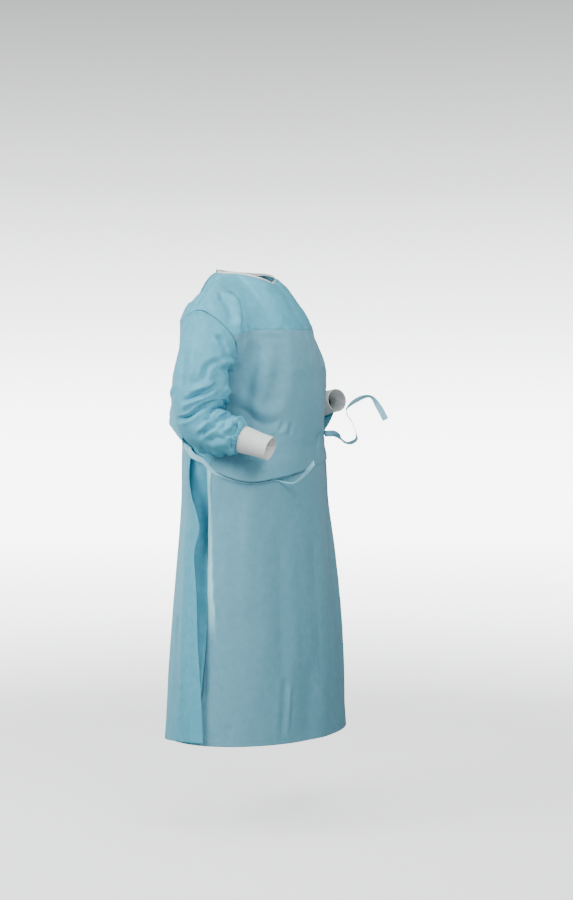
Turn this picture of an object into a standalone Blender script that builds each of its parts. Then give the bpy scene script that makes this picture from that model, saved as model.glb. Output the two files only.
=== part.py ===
# Surgical gown in its worn form, hollow, with a wrap-over back and waist ties.
# Metres, +Z up. The front faces -Y and the wearer's left is +X.
# The origin is the middle of the neck base, level with the top of the shoulders.
# Angles go round the body in degrees: 0 at the right side, 90 in front,
# 180 at the left side and -90 behind. Drops are distances below the origin.
import math

import bpy
import numpy as np

# Cloth and seams
CLOTH = 0.0012
REINFORCED = 0.0018
KNIT = 0.0020
BINDING = 0.0015
TAPE = 0.0012
SIDE_GAP = 0.0008
RIDGE_GAP = 0.0016

# Body axis and the named levels, as drops
AXIS_Y = -0.030
CHEST_LINE = 0.145
ARMPIT_DROP = 0.250
HEM_DROP = 1.178
BLOUSE_RISE = 0.130
UNDERFOLD = 0.005
# Fall of the tuck above which it has no fold under its edge
UNDERFOLD_FALL = 0.008

# Stations down a body panel, and half the chest seam's gap as a station
NECK, CHEST, ARMPIT, BLOUSE, TUCK, HEM = 0.0, 1.0, 2.0, 3.0, 4.0, 5.0
CHEST_SEAM = 0.0048

# Neckline and shoulder ridge
NECK_HALF_WIDTH = 0.075
NECK_FRONT = 0.050
NECK_BACK = 0.105
NECK_SIDE_Z = -0.003
NECK_FRONT_Z = -0.030
NECK_BACK_Z = 0.004
RIDGE_SPAN = 54.0
DOME_FRONT = 1.45
DOME_BACK = 1.80
NECK_CURVE = 0.8
# Ridge from the seam top to the neck: share, distance out, y, z
RIDGE = (
    (0.00, 0.243, 0.010, -0.100),
    (0.35, 0.185, 0.006, -0.047),
    (1.00, 0.075, 0.000, -0.003),
)

# Armhole: a slanted ring, top tilted outward
ARMHOLE_CENTRE = (0.204, -0.010, -0.175)
ARMHOLE_OUT = (0.880, 0.000, -0.4576)
ARMHOLE_RADIUS = 0.0868
ARMHOLE_POINT = 1.40
ARMPIT_FORWARD = 0.020
SEAM_TOP_TURN = 13.0
ARMHOLE_FADE = 42.0
# Share of a sleeve over which it turns from the armhole's shape to its own
ARMHOLE_BLEND = 0.125
ARMHOLE_TILT_BLEND = 0.28
# Middle of the chest, which the shoulder folds move away from
CHEST_MIDDLE = (0.0, -0.010, -0.200)

# Body sections: drop, half width, depth in front, depth behind, squareness
SECTIONS = (
    (0.250, 0.165, 0.163, 0.180, 2.5),
    (0.330, 0.157, 0.170, 0.182, 2.5),
    (0.400, 0.167, 0.167, 0.180, 2.4),
    (0.440, 0.188, 0.164, 0.176, 2.2),
    (0.488, 0.212, 0.167, 0.170, 2.1),
    (0.605, 0.228, 0.175, 0.171, 2.0),
    (0.733, 0.247, 0.187, 0.178, 2.0),
    (0.850, 0.264, 0.198, 0.186, 2.0),
    (0.955, 0.276, 0.206, 0.192, 2.0),
    (1.180, 0.291, 0.216, 0.204, 2.0),
)

# Cloth bloused over the waist: angle, drop of its lower edge, depth, fall of the tuck
WAIST = (
    (-180.0, 0.455, 0.012, 0.008),
    (-130.0, 0.424, 0.020, 0.016),
    (-90.0, 0.400, 0.026, 0.018),
    (-50.0, 0.384, 0.032, 0.016),
    (-24.0, 0.424, 0.024, 0.010),
    (-6.0, 0.472, 0.016, 0.005),
    (8.0, 0.505, 0.015, 0.003),
    (24.0, 0.523, 0.014, 0.002),
    (45.0, 0.516, 0.012, 0.002),
    (64.0, 0.505, 0.008, 0.004),
    (90.0, 0.490, 0.002, 0.008),
    (120.0, 0.480, 0.002, 0.008),
    (150.0, 0.468, 0.007, 0.008),
    (180.0, 0.455, 0.012, 0.008),
)

# Free edge of the flap and edge of the layer under it: drop, flap angle, under angle
BACK_EDGES = (
    (-0.010, -72.0, -106.0),
    (0.100, -68.0, -108.0),
    (0.250, -58.0, -112.0),
    (0.360, -42.0, -115.0),
    (0.450, -25.0, -118.0),
    (0.540, -15.5, -119.0),
    (0.610, -6.0, -120.0),
    (0.670, -8.5, -121.0),
    (0.760, -4.8, -122.0),
    (0.900, -1.2, -123.0),
    (1.030, 2.0, -124.0),
    (1.180, 4.0, -124.0),
)
# Lift of the outer back layer at the neck and from the armpits down, and at its free edge
LAYER_LIFT_TOP = 0.0030
LAYER_LIFT = 0.0060
FLAP_EDGE_LIFT = 0.0060
LAYER_RAMP = 16.0
LAYER_AHEAD = 20.0
FLAP_HEM_RISE = 0.020
# Angles over which the flap's free edge and its hem lift away
FLAP_EDGE_SPAN = 30.0
FLAP_HEM_SPAN = 40.0
# Stations at which the flap's free edge starts to lift, and over which it does
FLAP_LIFT_START = 2.6
FLAP_LIFT_RAMP = 0.4
# Stations below the armpit over which a layer's lift turns level
LIFT_TURN = 0.8

# Distance from the axis at which the folds of the body are measured
FOLD_RADIUS = 0.19
# How fast a fold starts and ends along its length, and its depth right at its ends
FOLD_FADE = 4.0
FOLD_END = 0.35
# Angle from a side seam over which the drag folds reach the armpit level
FOLD_CLEAR = 12.0
# Soft folds of the body: angle and drop of each end, half width, distance out
TRUNK_FOLDS = (
    # Drag folds from the chest line down to the blouse
    (33.0, 0.17, 20.0, 0.34, 0.017, -0.008),
    (56.0, 0.18, 40.0, 0.35, 0.017, -0.007),
    (43.0, 0.21, 29.0, 0.37, 0.018, 0.006),
    (66.0, 0.24, 46.0, 0.39, 0.020, 0.005),
    (142.0, 0.18, 154.0, 0.36, 0.024, -0.007),
    # Long soft folds of the skirt
    (26.0, 0.54, 20.0, 0.86, 0.024, 0.004),
    (70.0, 0.98, 66.0, 1.18, 0.026, -0.006),
    (84.0, 0.80, 80.0, 1.18, 0.028, 0.005),
    (150.0, 0.60, 146.0, 1.18, 0.038, -0.010),
    (172.0, 0.55, 170.0, 1.18, 0.038, 0.009),
    (-60.0, 0.75, -52.0, 1.18, 0.045, -0.006),
    (-92.0, 0.55, -84.0, 1.18, 0.050, 0.006),
    (-122.0, 0.50, -118.0, 1.18, 0.050, -0.006),
    (-155.0, 0.50, -150.0, 1.18, 0.045, 0.010),
    # Folds of the back above the waist
    (-78.0, 0.20, -70.0, 0.36, 0.030, 0.005),
    (-104.0, 0.16, -98.0, 0.36, 0.030, -0.005),
    (-145.0, 0.22, -135.0, 0.38, 0.026, 0.006),
)

# Valley beside the flap, in the layers that lie under it, and the ridge in front of it
VALLEY_FOLDS = (
    (-12.0, 0.49, -7.0, 0.80, 0.024, -0.014),
    (-7.0, 0.80, 0.0, 1.08, 0.024, -0.008),
    (1.0, 0.48, 5.0, 0.84, 0.017, 0.008),
)

# Soft folds of the shoulders and chest: both ends, half width, distance out
YOKE_FOLDS = (
    ((-0.150, -0.030, -0.050), (-0.175, -0.110, -0.120), 0.012, -0.006),
    ((-0.178, -0.105, -0.110), (-0.172, -0.105, -0.200), 0.011, 0.006),
    ((-0.160, -0.120, -0.115), (-0.155, -0.125, -0.210), 0.012, -0.007),
    ((0.150, -0.030, -0.050), (0.180, -0.100, -0.120), 0.014, -0.005),
    ((0.165, -0.120, -0.110), (0.160, -0.120, -0.210), 0.014, -0.006),
    ((-0.160, 0.070, -0.075), (-0.172, 0.085, -0.140), 0.036, 0.022),
    ((0.120, 0.090, -0.060), (0.170, 0.110, -0.190), 0.018, -0.006),
)

# Sleeve centre lines and radii: x, y, z, outer, inner, front and back radius
RIGHT_SLEEVE = (
    (-0.204, -0.010, -0.175, 0.0868, 0.0868, 0.078, 0.0780),
    (-0.225, -0.005, -0.225, 0.064, 0.058, 0.072, 0.066),
    (-0.238, -0.004, -0.285, 0.064, 0.060, 0.076, 0.070),
    (-0.246, -0.006, -0.335, 0.062, 0.062, 0.072, 0.068),
    (-0.250, -0.026, -0.374, 0.062, 0.060, 0.054, 0.068),
    (-0.247, -0.060, -0.396, 0.058, 0.055, 0.050, 0.062),
    (-0.241, -0.094, -0.407, 0.053, 0.049, 0.047, 0.054),
    (-0.2365, -0.115, -0.4135, 0.047, 0.044, 0.045, 0.047),
    (-0.235, -0.126, -0.417, 0.033, 0.033, 0.033, 0.033),
)
LEFT_SLEEVE = (
    (0.204, -0.010, -0.175, 0.0868, 0.0868, 0.078, 0.0780),
    (0.225, -0.005, -0.225, 0.068, 0.058, 0.072, 0.072),
    (0.239, -0.006, -0.278, 0.064, 0.060, 0.058, 0.070),
    (0.249, -0.004, -0.325, 0.062, 0.054, 0.038, 0.068),
    (0.247, -0.024, -0.362, 0.060, 0.046, 0.032, 0.066),
    (0.231, -0.058, -0.370, 0.057, 0.045, 0.035, 0.060),
    (0.209, -0.088, -0.358, 0.052, 0.046, 0.041, 0.053),
    (0.193, -0.106, -0.342, 0.046, 0.043, 0.044, 0.046),
    (0.186, -0.1165, -0.3385, 0.033, 0.033, 0.033, 0.033),
)
RIGHT_CUFF_END = (-0.2275, -0.200, -0.439)
LEFT_CUFF_END = (0.153, -0.186, -0.3277)
CUFF_RADIUS = 0.033
WRIST_RADIUS = 0.029
CUFF_SEAM = 0.965
# Share at which a sleeve's rings start to turn square to the cuff, and over which they do
CUFF_TURN_START = 0.86
CUFF_TURN_SPAN = 0.10
GATHERS = 6
GATHER_DEPTH = 0.0030
GATHER_START = 0.72
GATHER_RAMP = 0.20
SLEEVE_SIDES = 24
CUFF_SIDES = 20
# Body cloth under the sleeves: clear distance, softness of the dent, and how fast it starts
SLEEVE_CLEAR = 0.006
DENT_SOFTNESS = 0.010
DENT_START = 0.035
# Rough length and radius of a sleeve, for measuring its folds
SLEEVE_LENGTH = 0.40
SLEEVE_RADIUS = 0.066
# Folds of both sleeves: share down and turn of each end, half width, distance out
SLEEVE_FOLDS = (
    (0.20, 60.0, 0.36, 85.0, 0.014, -0.006),
    (0.50, 60.0, 0.50, 130.0, 0.010, -0.007),
    (0.58, 20.0, 0.56, 110.0, 0.010, -0.008),
    (0.64, 40.0, 0.66, 140.0, 0.010, 0.006),
    (0.72, 10.0, 0.70, 100.0, 0.010, -0.007),
    (0.80, 60.0, 0.82, 200.0, 0.010, 0.006),
    (0.86, -40.0, 0.84, 60.0, 0.010, -0.006),
    (0.56, -150.0, 0.60, -60.0, 0.012, 0.005),
    (0.74, -140.0, 0.78, -50.0, 0.012, -0.005),
)

# Start of a sleeve outside its armhole: all round, and further at the armpit
SLEEVE_START = 0.0003
ARMPIT_START = 0.0015
SLEEVE_END = 0.990

# Binding round the neckline: clear of the panel edge, then up and in
BINDING_START = (0.0012, 0.0005)
BINDING_END = (0.0036, 0.0060)
BINDING_TIP = 0.006

# Waist ties
TIE_WIDTH = 0.016
TIE_LIFT = 0.0026
TIE_BELOW = 0.002
# Long tie on the body, just under the bloused cloth: where it starts, leaves the flap
# and leaves the body
TIE_START = -36.0
TIE_OFF_FLAP = (-22.0, -8.0)
TIE_OFF_BODY = 45.0
# Width of the long tie as it is drawn tight: angle, width
TIE_DRAWN = (
    (-28.0, 0.016),
    (-8.0, 0.012),
    (10.0, 0.006),
    (24.0, 0.004),
)
# Free ends of the ties: place of the middle, direction across the tape, width
LONG_TIE_FREE = (
    ((-0.116, -0.197, -0.530), (0.05, 0.0, 1.0), 0.007),
    ((-0.120, -0.222, -0.520), (0.10, 0.0, 1.0), 0.011),
    ((-0.134, -0.252, -0.499), (0.20, 0.0, 1.0), 0.015),
    ((-0.150, -0.280, -0.476), (0.25, 0.1, 1.0), 0.016),
)
SHORT_TIE_SEAT = (136.0, 130.0, 124.0)
SHORT_TIE_STATIONS = (2.680, 2.750)
SHORT_TIE_LIFT = 0.0038
SHORT_TIE_FREE = (
    ((0.086, -0.212, -0.412), (0.00, 0.0, 1.0)),
    ((0.058, -0.244, -0.419), (-0.15, 0.15, 1.0)),
    ((0.030, -0.268, -0.428), (-0.50, 0.3, 0.8)),
    ((0.010, -0.297, -0.432), (-0.85, 0.3, 0.4)),
    ((-0.001, -0.321, -0.420), (-0.90, -0.1, 0.2)),
    ((0.001, -0.3175, -0.399), (-0.87, -0.4, 0.1)),
    ((0.022, -0.297, -0.379), (-0.87, -0.5, 0.0)),
    ((0.070, -0.2565, -0.350), (-0.87, -0.4, 0.2)),
    ((0.090, -0.278, -0.324), (-0.75, 0.0, 0.6)),
    ((0.100, -0.310, -0.316), (-0.73, -0.54, 0.4)),
    ((0.110, -0.330, -0.344), (0.14, -0.84, 0.52)),
    ((0.119, -0.344, -0.375), (0.42, -0.73, 0.55)),
)

# Colours and finish
CLOTH_COLOUR = (0.28, 0.52, 0.60, 1.0)
REINFORCED_COLOUR = (0.24, 0.46, 0.54, 1.0)
WHITE = (0.80, 0.82, 0.82, 1.0)
TIE_COLOUR = (0.36, 0.60, 0.66, 1.0)


def clear_scene():
    for item in list(bpy.data.objects):
        bpy.data.objects.remove(item, do_unlink=True)


def new_collection(name):
    collection = bpy.data.collections.new(name)
    bpy.context.scene.collection.children.link(collection)
    return collection


def make_material(name, colour, roughness):
    material = bpy.data.materials.new(name)
    material.use_nodes = True
    shader = material.node_tree.nodes["Principled BSDF"]
    shader.inputs["Base Color"].default_value = colour
    shader.inputs["Roughness"].default_value = roughness
    shader.inputs["Metallic"].default_value = 0.0
    return material


def smoothstep(value):
    value = np.clip(value, 0.0, 1.0)
    return value * value * (3.0 - 2.0 * value)


def through(x, table, column):
    """A smooth curve through one column of a short table, held level past its ends."""
    knots = np.array([row[0] for row in table])
    values = np.array([row[column] for row in table])
    slopes = np.gradient(values, knots)
    x = np.clip(x, knots[0], knots[-1])
    i = np.clip(np.searchsorted(knots, x) - 1, 0, len(knots) - 2)
    step = knots[i + 1] - knots[i]
    t = (x - knots[i]) / step
    start = values[i] * (1.0 + 2.0 * t) * (1.0 - t) ** 2 + slopes[i] * step * t * (1.0 - t) ** 2
    end = values[i + 1] * t * t * (3.0 - 2.0 * t) - slopes[i + 1] * step * t * t * (1.0 - t)
    return start + end


def spaced(*stops):
    """Values from stop to stop, given as value, count, value, count, and so on."""
    values = [stops[0]]
    for count, stop in zip(stops[1::2], stops[2::2]):
        values.extend(np.linspace(values[-1], stop, count + 1)[1:])
    return np.array(values)


def section_radius(phi, drop):
    """Distance from the axis to the cloth of the body, before blousing and folds."""
    across = np.cos(np.radians(phi))
    along = np.sin(np.radians(phi))
    half_width = through(drop, SECTIONS, 1)
    depth = np.where(along > 0, through(drop, SECTIONS, 2), through(drop, SECTIONS, 3))
    square = through(drop, SECTIONS, 4)
    total = np.abs(across / half_width) ** square + np.abs(along / depth) ** square
    return total ** (-1.0 / square)


def from_axis(phi, radius, z):
    """Points at an angle and a distance from the body axis."""
    turn = np.radians(phi)
    return np.stack([-radius * np.cos(turn), AXIS_Y - radius * np.sin(turn), z], axis=-1)


def outward(phi):
    """Level directions out of the body at an angle."""
    turn = np.radians(phi)
    return np.stack([-np.cos(turn), -np.sin(turn), 0.0 * turn], axis=-1)


def segment_distance(points, start, end):
    """Distance from each point to a segment, and how far along it the nearest place is."""
    start = np.asarray(start, float)
    along = np.asarray(end, float) - start
    share = np.clip(((points - start) @ along) / (along @ along), 0.0, 1.0)
    nearest = start + share[..., None] * along
    return np.linalg.norm(points - nearest, axis=-1), share


def fold_profile(distance, share, half_width):
    """One soft fold: full along its middle, dying away at its ends and sides."""
    ends = smoothstep(FOLD_FADE * share + FOLD_END) * smoothstep(FOLD_FADE * (1.0 - share) + FOLD_END)
    return np.exp(-(distance / half_width) ** 2) * ends


def trunk_folds(phi, drop, folds):
    """Distance that a table of folds moves the body cloth out."""
    scale = math.radians(1.0) * FOLD_RADIUS
    total = np.zeros(np.shape(phi))
    for lap in (-360.0, 0.0, 360.0):
        flat = np.stack([(phi + lap) * scale, drop], axis=-1)
        for first, first_drop, last, last_drop, half_width, out in folds:
            distance, share = segment_distance(flat, (first * scale, first_drop), (last * scale, last_drop))
            total += out * fold_profile(distance, share, half_width)
    return total


def yoke_folds(points):
    """Distance that the folds of the shoulders move the cloth out."""
    total = np.zeros(points.shape[:-1])
    for start, end, half_width, out in YOKE_FOLDS:
        distance, share = segment_distance(points, start, end)
        total += out * fold_profile(distance, share, half_width)
    return total


def top_edge(phi):
    """Points along the shoulder ridge and round the neckline, one for each angle."""
    side = np.where(np.abs(phi) < 90.0, -1.0, 1.0)
    turn = np.where(np.abs(phi) < 90.0, np.abs(phi), 180.0 - np.abs(phi))
    front = phi > 0
    share = np.clip(turn / RIDGE_SPAN, 0.0, 1.0)
    quarter = np.radians(90.0) * np.clip((turn - RIDGE_SPAN) / (90.0 - RIDGE_SPAN), 0.0, 1.0)
    x = np.where(share < 1.0, through(share, RIDGE, 1), NECK_HALF_WIDTH * np.cos(quarter))
    reach = np.where(front, NECK_FRONT, -NECK_BACK - AXIS_Y)
    centre = np.where(front, AXIS_Y, 0.0)
    neck_y = np.where(front, (centre - reach) * np.sin(quarter), -reach * np.sin(quarter))
    y = np.where(share < 1.0, through(share, RIDGE, 2), neck_y)
    centre_z = np.where(front, NECK_FRONT_Z, NECK_BACK_Z)
    neck_z = NECK_SIDE_Z + (centre_z - NECK_SIDE_Z) * (1.0 - np.cos(quarter)) ** NECK_CURVE
    z = np.where(share < 1.0, through(share, RIDGE, 3), neck_z)
    seam = np.where(front, -RIDGE_GAP / 2, RIDGE_GAP / 2)
    return np.stack([side * x, y + seam, z], axis=-1)


def ring_frame(side_way, axis):
    """Outer and front directions square to the axis of a sleeve ring."""
    outer = side_way - (side_way @ axis) * axis
    outer = outer / np.linalg.norm(outer)
    front = np.cross(outer, axis) * (-side_way[0])
    return outer, front


def armhole(side, turn):
    """Points round an armhole: turn 0 is its outer top, 90 its front, 180 the armpit."""
    side_way = np.array([side, 0.0, 0.0])
    axis = np.array([side * ARMHOLE_OUT[0], ARMHOLE_OUT[1], ARMHOLE_OUT[2]])
    axis = axis / np.linalg.norm(axis)
    centre = np.array([side * ARMHOLE_CENTRE[0], ARMHOLE_CENTRE[1], ARMHOLE_CENTRE[2]])
    radii = LEFT_SLEEVE[0][3:]
    return centre + ring_offset(side_way, axis, radii, turn, 1.0)


def ring_offset(side_way, axis, radii, turn, pinch=0.0):
    """Offsets round one sleeve ring with its own outer, inner, front and back radius.

    The pinch, 1 at the armhole, points the armpit and flattens the front of the shoulder.
    """
    point = 1.0 + (ARMHOLE_POINT - 1.0) * pinch
    outer, front = ring_frame(side_way, axis)
    across = np.cos(np.radians(turn))
    along = np.sin(np.radians(turn))
    along = np.where(across < 0, np.sign(along) * np.abs(along) ** point, along)
    flat = (across > 0) & (along > 0)
    across = np.where(flat, np.abs(across) ** point, across)
    along = np.where(flat, np.abs(along) ** point, along)
    outer_radius = np.where(across > 0, radii[0], radii[1])
    front_radius = np.where(along > 0, radii[2], radii[3])
    forward = ARMPIT_FORWARD * pinch * np.where(across < 0, across ** 2, 0.0)
    return (outer_radius * across)[..., None] * outer + (front_radius * along + forward)[..., None] * front


def dome(phi, rise):
    """Points up one column of the shoulders, from the armpit level to the top edge."""
    bottom = from_axis(phi, section_radius(phi, ARMPIT_DROP), -ARMPIT_DROP * np.ones(np.shape(phi)))
    top = top_edge(phi)
    square = np.where(phi > 0, DOME_FRONT, DOME_BACK)
    angle = np.radians(90.0) * rise
    inward = 1.0 - np.cos(angle) ** (2.0 / square)
    upward = np.sin(angle) ** (2.0 / square)
    plan = bottom + (top - bottom) * inward[..., None]
    height = bottom[..., 2] + (top[..., 2] - bottom[..., 2]) * upward
    return np.stack([plan[..., 0], plan[..., 1], height], axis=-1)


def chest_rise(phi):
    """Share of the way up a column at which it crosses the chest line."""
    top = top_edge(phi)[..., 2]
    share = (ARMPIT_DROP - CHEST_LINE) / (top + ARMPIT_DROP)
    return np.arcsin(share ** (DOME_FRONT / 2.0)) / np.radians(90.0)


def yoke(phi, station):
    """Points of the shoulders and chest, between the neck and the armpit level."""
    line = np.where(phi > 0, chest_rise(phi), 0.5)
    above = 1.0 - (1.0 - line) * station
    below = line * (ARMPIT - station)
    rise = np.clip(np.where(station < CHEST, above, below), 0.0, 1.0)
    points = dome(phi, rise)
    right = np.abs(phi) < 90.0
    turn = np.where(right, np.abs(phi), 180.0 - np.abs(phi))
    fade = 1.0 - smoothstep(turn / ARMHOLE_FADE)
    sign = np.where(phi > 0, 1.0, -1.0)
    seam_phi = np.where(right, sign * 1e-6, sign * (180.0 - 1e-6))
    half_gap = math.degrees(RIDGE_GAP / 2 / ARMHOLE_RADIUS)
    ring_turn = sign * (half_gap + (180.0 - half_gap) * (1.0 - rise)) - SEAM_TOP_TURN * rise
    ring = np.where(right[..., None], armhole(-1.0, ring_turn), armhole(1.0, ring_turn))
    points = points + (ring - dome(seam_phi, rise)) * fade[..., None]
    drag = smoothstep(turn / FOLD_CLEAR) * smoothstep(station - CHEST)
    points = points + outward(phi) * (trunk_folds(phi, -points[..., 2], TRUNK_FOLDS) * drag)[..., None]
    away = points - np.array(CHEST_MIDDLE)
    away = away / np.linalg.norm(away, axis=-1)[..., None]
    keep = smoothstep(turn / 4.0) * smoothstep(station * 4.0) * smoothstep((ARMPIT - station) * 3.0)
    return points + away * (yoke_folds(points) * keep)[..., None]


def sleeve_axis(rows, share):
    """Centre, direction and radii at a share of the way down a sleeve."""
    table = [(i / (len(rows) - 1.0),) + tuple(row) for i, row in enumerate(rows)]
    centre = np.array([through(share, table, k) for k in (1, 2, 3)])
    step = 0.01
    ahead = np.array([through(share + step, table, k) for k in (1, 2, 3)])
    behind = np.array([through(share - step, table, k) for k in (1, 2, 3)])
    axis = (ahead - behind) / np.linalg.norm(ahead - behind)
    side = math.copysign(1.0, rows[0][0])
    start = np.array([side * ARMHOLE_OUT[0], ARMHOLE_OUT[1], ARMHOLE_OUT[2]])
    blend = smoothstep(share / ARMHOLE_TILT_BLEND)
    axis = start / np.linalg.norm(start) * (1.0 - blend) + axis * blend
    end = np.array(rows[-1][:3]) - np.array(rows[-2][:3])
    blend = smoothstep((share - CUFF_TURN_START) / CUFF_TURN_SPAN)
    axis = axis * (1.0 - blend) + end / np.linalg.norm(end) * blend
    axis = axis / np.linalg.norm(axis)
    radii = [through(share / CUFF_SEAM, table, k) for k in (4, 5, 6, 7)]
    return centre, axis, radii


def push_from_sleeves(points, lift):
    """Move body cloth inward wherever a sleeve would touch it."""
    for rows in (RIGHT_SLEEVE, LEFT_SLEEVE):
        nearest = np.full(points.shape[:-1], 1.0)
        for share in np.linspace(0.2, 1.0, 33):
            centre, axis, radii = sleeve_axis(rows, share)
            gap = np.linalg.norm(points - centre, axis=-1) - max(radii[1], radii[3] * 0.9)
            nearest = np.minimum(nearest, gap)
        short = SLEEVE_CLEAR + lift - nearest
        soft = DENT_SOFTNESS
        push = np.where(short > soft, short, np.clip(short + soft, 0.0, None) ** 2 / (4.0 * soft))
        push = push * smoothstep((-points[..., 2] - ARMPIT_DROP) / DENT_START)
        inward = np.array([0.0, AXIS_Y, 0.0]) - points
        inward[..., 2] = 0.0
        inward = inward / np.linalg.norm(inward, axis=-1)[..., None]
        points = points + inward * push[..., None]
    return points


def trunk(phi, station, lift):
    """Points of the body below the armpits, with the bloused waist."""
    edge = through(phi, WAIST, 1)
    depth = through(phi, WAIST, 2)
    fall = through(phi, WAIST, 3)
    down = np.clip(station - ARMPIT, 0.0, 1.0)
    under = np.clip(station - BLOUSE, 0.0, 1.0)
    skirt = np.clip(station - TUCK, 0.0, 1.0)
    drop = ARMPIT_DROP + (edge - ARMPIT_DROP) * down + fall * under
    drop = drop - UNDERFOLD * np.sin(math.pi * under) * smoothstep(1.0 - fall / UNDERFOLD_FALL)
    drop = drop + (HEM_DROP - edge - fall) * skirt
    full = smoothstep(1.0 - (edge - drop) / BLOUSE_RISE) * (down > 0)
    full = np.where(under > 0, 0.5 + 0.5 * np.cos(math.pi * under), full)
    radius = section_radius(phi, drop) + depth * full
    radius = radius + trunk_folds(phi, drop, TRUNK_FOLDS)
    radius = radius + np.where(lift > 0, 0.0, trunk_folds(phi, drop, VALLEY_FOLDS))
    return push_from_sleeves(from_axis(phi, radius, -drop), lift)


def body(phi, station, lift=0.0):
    """Points of the body cloth, moved out by the lift of its layer."""
    phi, station, lift = np.broadcast_arrays(phi, station, lift)
    phi = phi.astype(float)
    upper = yoke(phi, np.minimum(station, ARMPIT))
    lower = trunk(phi, np.maximum(station, ARMPIT), lift)
    points = np.where((station < ARMPIT)[..., None], upper, lower)
    turn = np.radians(phi)
    climb = np.where(station < ARMPIT, 1.0 - station / ARMPIT, -smoothstep((station - ARMPIT) / LIFT_TURN))
    out = np.stack([-np.cos(turn), -np.sin(turn), climb], axis=-1)
    return points + out * lift[..., None]


def grid_faces(rows, columns, closed=False, drag_columns=0):
    """Faces of a grid whose points run across first and then down.

    The first drag_columns are split along the drag of the cloth, and so are the rest, mirrored.
    """
    faces = []
    for r in range(rows - 1):
        for c in range(columns if closed else columns - 1):
            nxt = (c + 1) % columns
            top, low = r * columns, (r + 1) * columns
            if drag_columns == 0:
                faces.append((top + c, low + c, low + nxt, top + nxt))
            elif c < drag_columns:
                faces.append((top + c, low + c, top + nxt))
                faces.append((low + c, low + nxt, top + nxt))
            else:
                faces.append((top + c, low + c, low + nxt))
                faces.append((top + c, low + nxt, top + nxt))
    return faces


def wall_object(name, points, thickness, material, collection, closed=False, flip=False, drag_columns=0):
    """A cloth wall: the open surface through a grid of points, made solid."""
    rows, columns = points.shape[:2]
    faces = grid_faces(rows, columns, closed, drag_columns)
    if flip:
        faces = [face[::-1] for face in faces]
    mesh = bpy.data.meshes.new(name)
    mesh.from_pydata([tuple(p) for p in points.reshape(-1, 3)], [], faces)
    mesh.materials.append(material)
    mesh.shade_smooth()
    item = bpy.data.objects.new(name, mesh)
    collection.objects.link(item)
    solid = item.modifiers.new("Wall", "SOLIDIFY")
    solid.thickness = thickness
    solid.offset = 0.0
    solid.use_quality_normals = True
    return item


def seam_angle(radius=0.2):
    return math.degrees(SIDE_GAP / 2 / radius)


YOKE_ROWS = spaced(NECK, 7, CHEST)
BUST_ROWS = spaced(CHEST, 5, ARMPIT)
BACK_ROWS = spaced(NECK, 9, ARMPIT)
WAIST_ROWS = spaced(ARMPIT, 8, 2.60, 3, 2.84, 2, 2.95, 1, BLOUSE, 3, TUCK)[1:]
SKIRT_ROWS = spaced(TUCK, 3, 4.09, 2, 4.25, 6, HEM)[1:]
LOWER_ROWS = np.concatenate([WAIST_ROWS, SKIRT_ROWS])
# Columns near the side seams, shared by the panels that meet there
RIGHT_COLUMNS = spaced(seam_angle(), 10, RIDGE_SPAN)
LEFT_COLUMNS = spaced(180.0 - RIDGE_SPAN, 8, 180.0 - seam_angle())
NECK_COLUMNS = spaced(RIDGE_SPAN, 9, 180.0 - RIDGE_SPAN)
FRONT_COLUMNS = np.concatenate([RIGHT_COLUMNS, NECK_COLUMNS[1:-1], LEFT_COLUMNS])
# Columns of the front whose faces are split along the drag folds
DRAG_COLUMNS = 16


def front_panels(collection, upper_material, lower_material):
    """Front above the chest line, and the reinforced front below it."""
    angles = FRONT_COLUMNS
    upper_rows = YOKE_ROWS.copy()
    upper_rows[-1] -= CHEST_SEAM
    lower_rows = np.concatenate([BUST_ROWS, LOWER_ROWS])
    lower_rows[0] += CHEST_SEAM
    upper = body(angles[None, :], upper_rows[:, None])
    lower = body(angles[None, :], lower_rows[:, None])
    wall_object("front_upper", upper, CLOTH, upper_material, collection)
    wall_object("front_lower", lower, REINFORCED, lower_material, collection, drag_columns=DRAG_COLUMNS)


def station_drop(station):
    """Rough drop of a station, for the slant of the back edges."""
    stops = ((0.0, 0.0), (2.0, ARMPIT_DROP), (3.0, 0.43), (4.0, 0.45), (5.0, HEM_DROP))
    return np.interp(station, [s[0] for s in stops], [s[1] for s in stops])


def right_back_columns(rows):
    """Angles of the under layer, from the right side seam to its free edge."""
    edge = through(station_drop(rows), BACK_EDGES, 2)[:, None]
    fixed = np.broadcast_to(-RIGHT_COLUMNS, (len(rows), len(RIGHT_COLUMNS)))
    share = spaced(0.0, 6, 1.0)[1:]
    return np.hstack([fixed, -RIDGE_SPAN + (edge + RIDGE_SPAN) * share])


def left_back_columns(rows):
    """Angles of the outer layer, from the left side seam to the free edge of its flap."""
    edge = through(station_drop(rows), BACK_EDGES, 1)[:, None]
    fixed = np.broadcast_to(-LEFT_COLUMNS[::-1], (len(rows), len(LEFT_COLUMNS)))
    start = RIDGE_SPAN - 180.0
    share = spaced(0.0, 10, 1.0)[1:]
    return np.hstack([fixed, start + (edge - start) * share])


def back_right_panel(collection, material):
    """Under layer of the back, from the right side seam past the middle."""
    rows = np.concatenate([BACK_ROWS, LOWER_ROWS])
    angles = right_back_columns(rows)
    points = body(angles, rows[:, None])
    return wall_object("back_right", points, CLOTH, material, collection, flip=True)


def flap_lift(angle, station, edge, under_edge):
    """Distance of the outer back layer from the body surface."""
    over = smoothstep((angle - under_edge + LAYER_AHEAD) / LAYER_RAMP)
    layer = LAYER_LIFT_TOP + (LAYER_LIFT - LAYER_LIFT_TOP) * smoothstep(station / ARMPIT)
    near_edge = smoothstep(1.0 - (edge - angle) / FLAP_EDGE_SPAN)
    free = smoothstep((station - FLAP_LIFT_START) / FLAP_LIFT_RAMP)
    return layer * over + FLAP_EDGE_LIFT * near_edge * free


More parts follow.
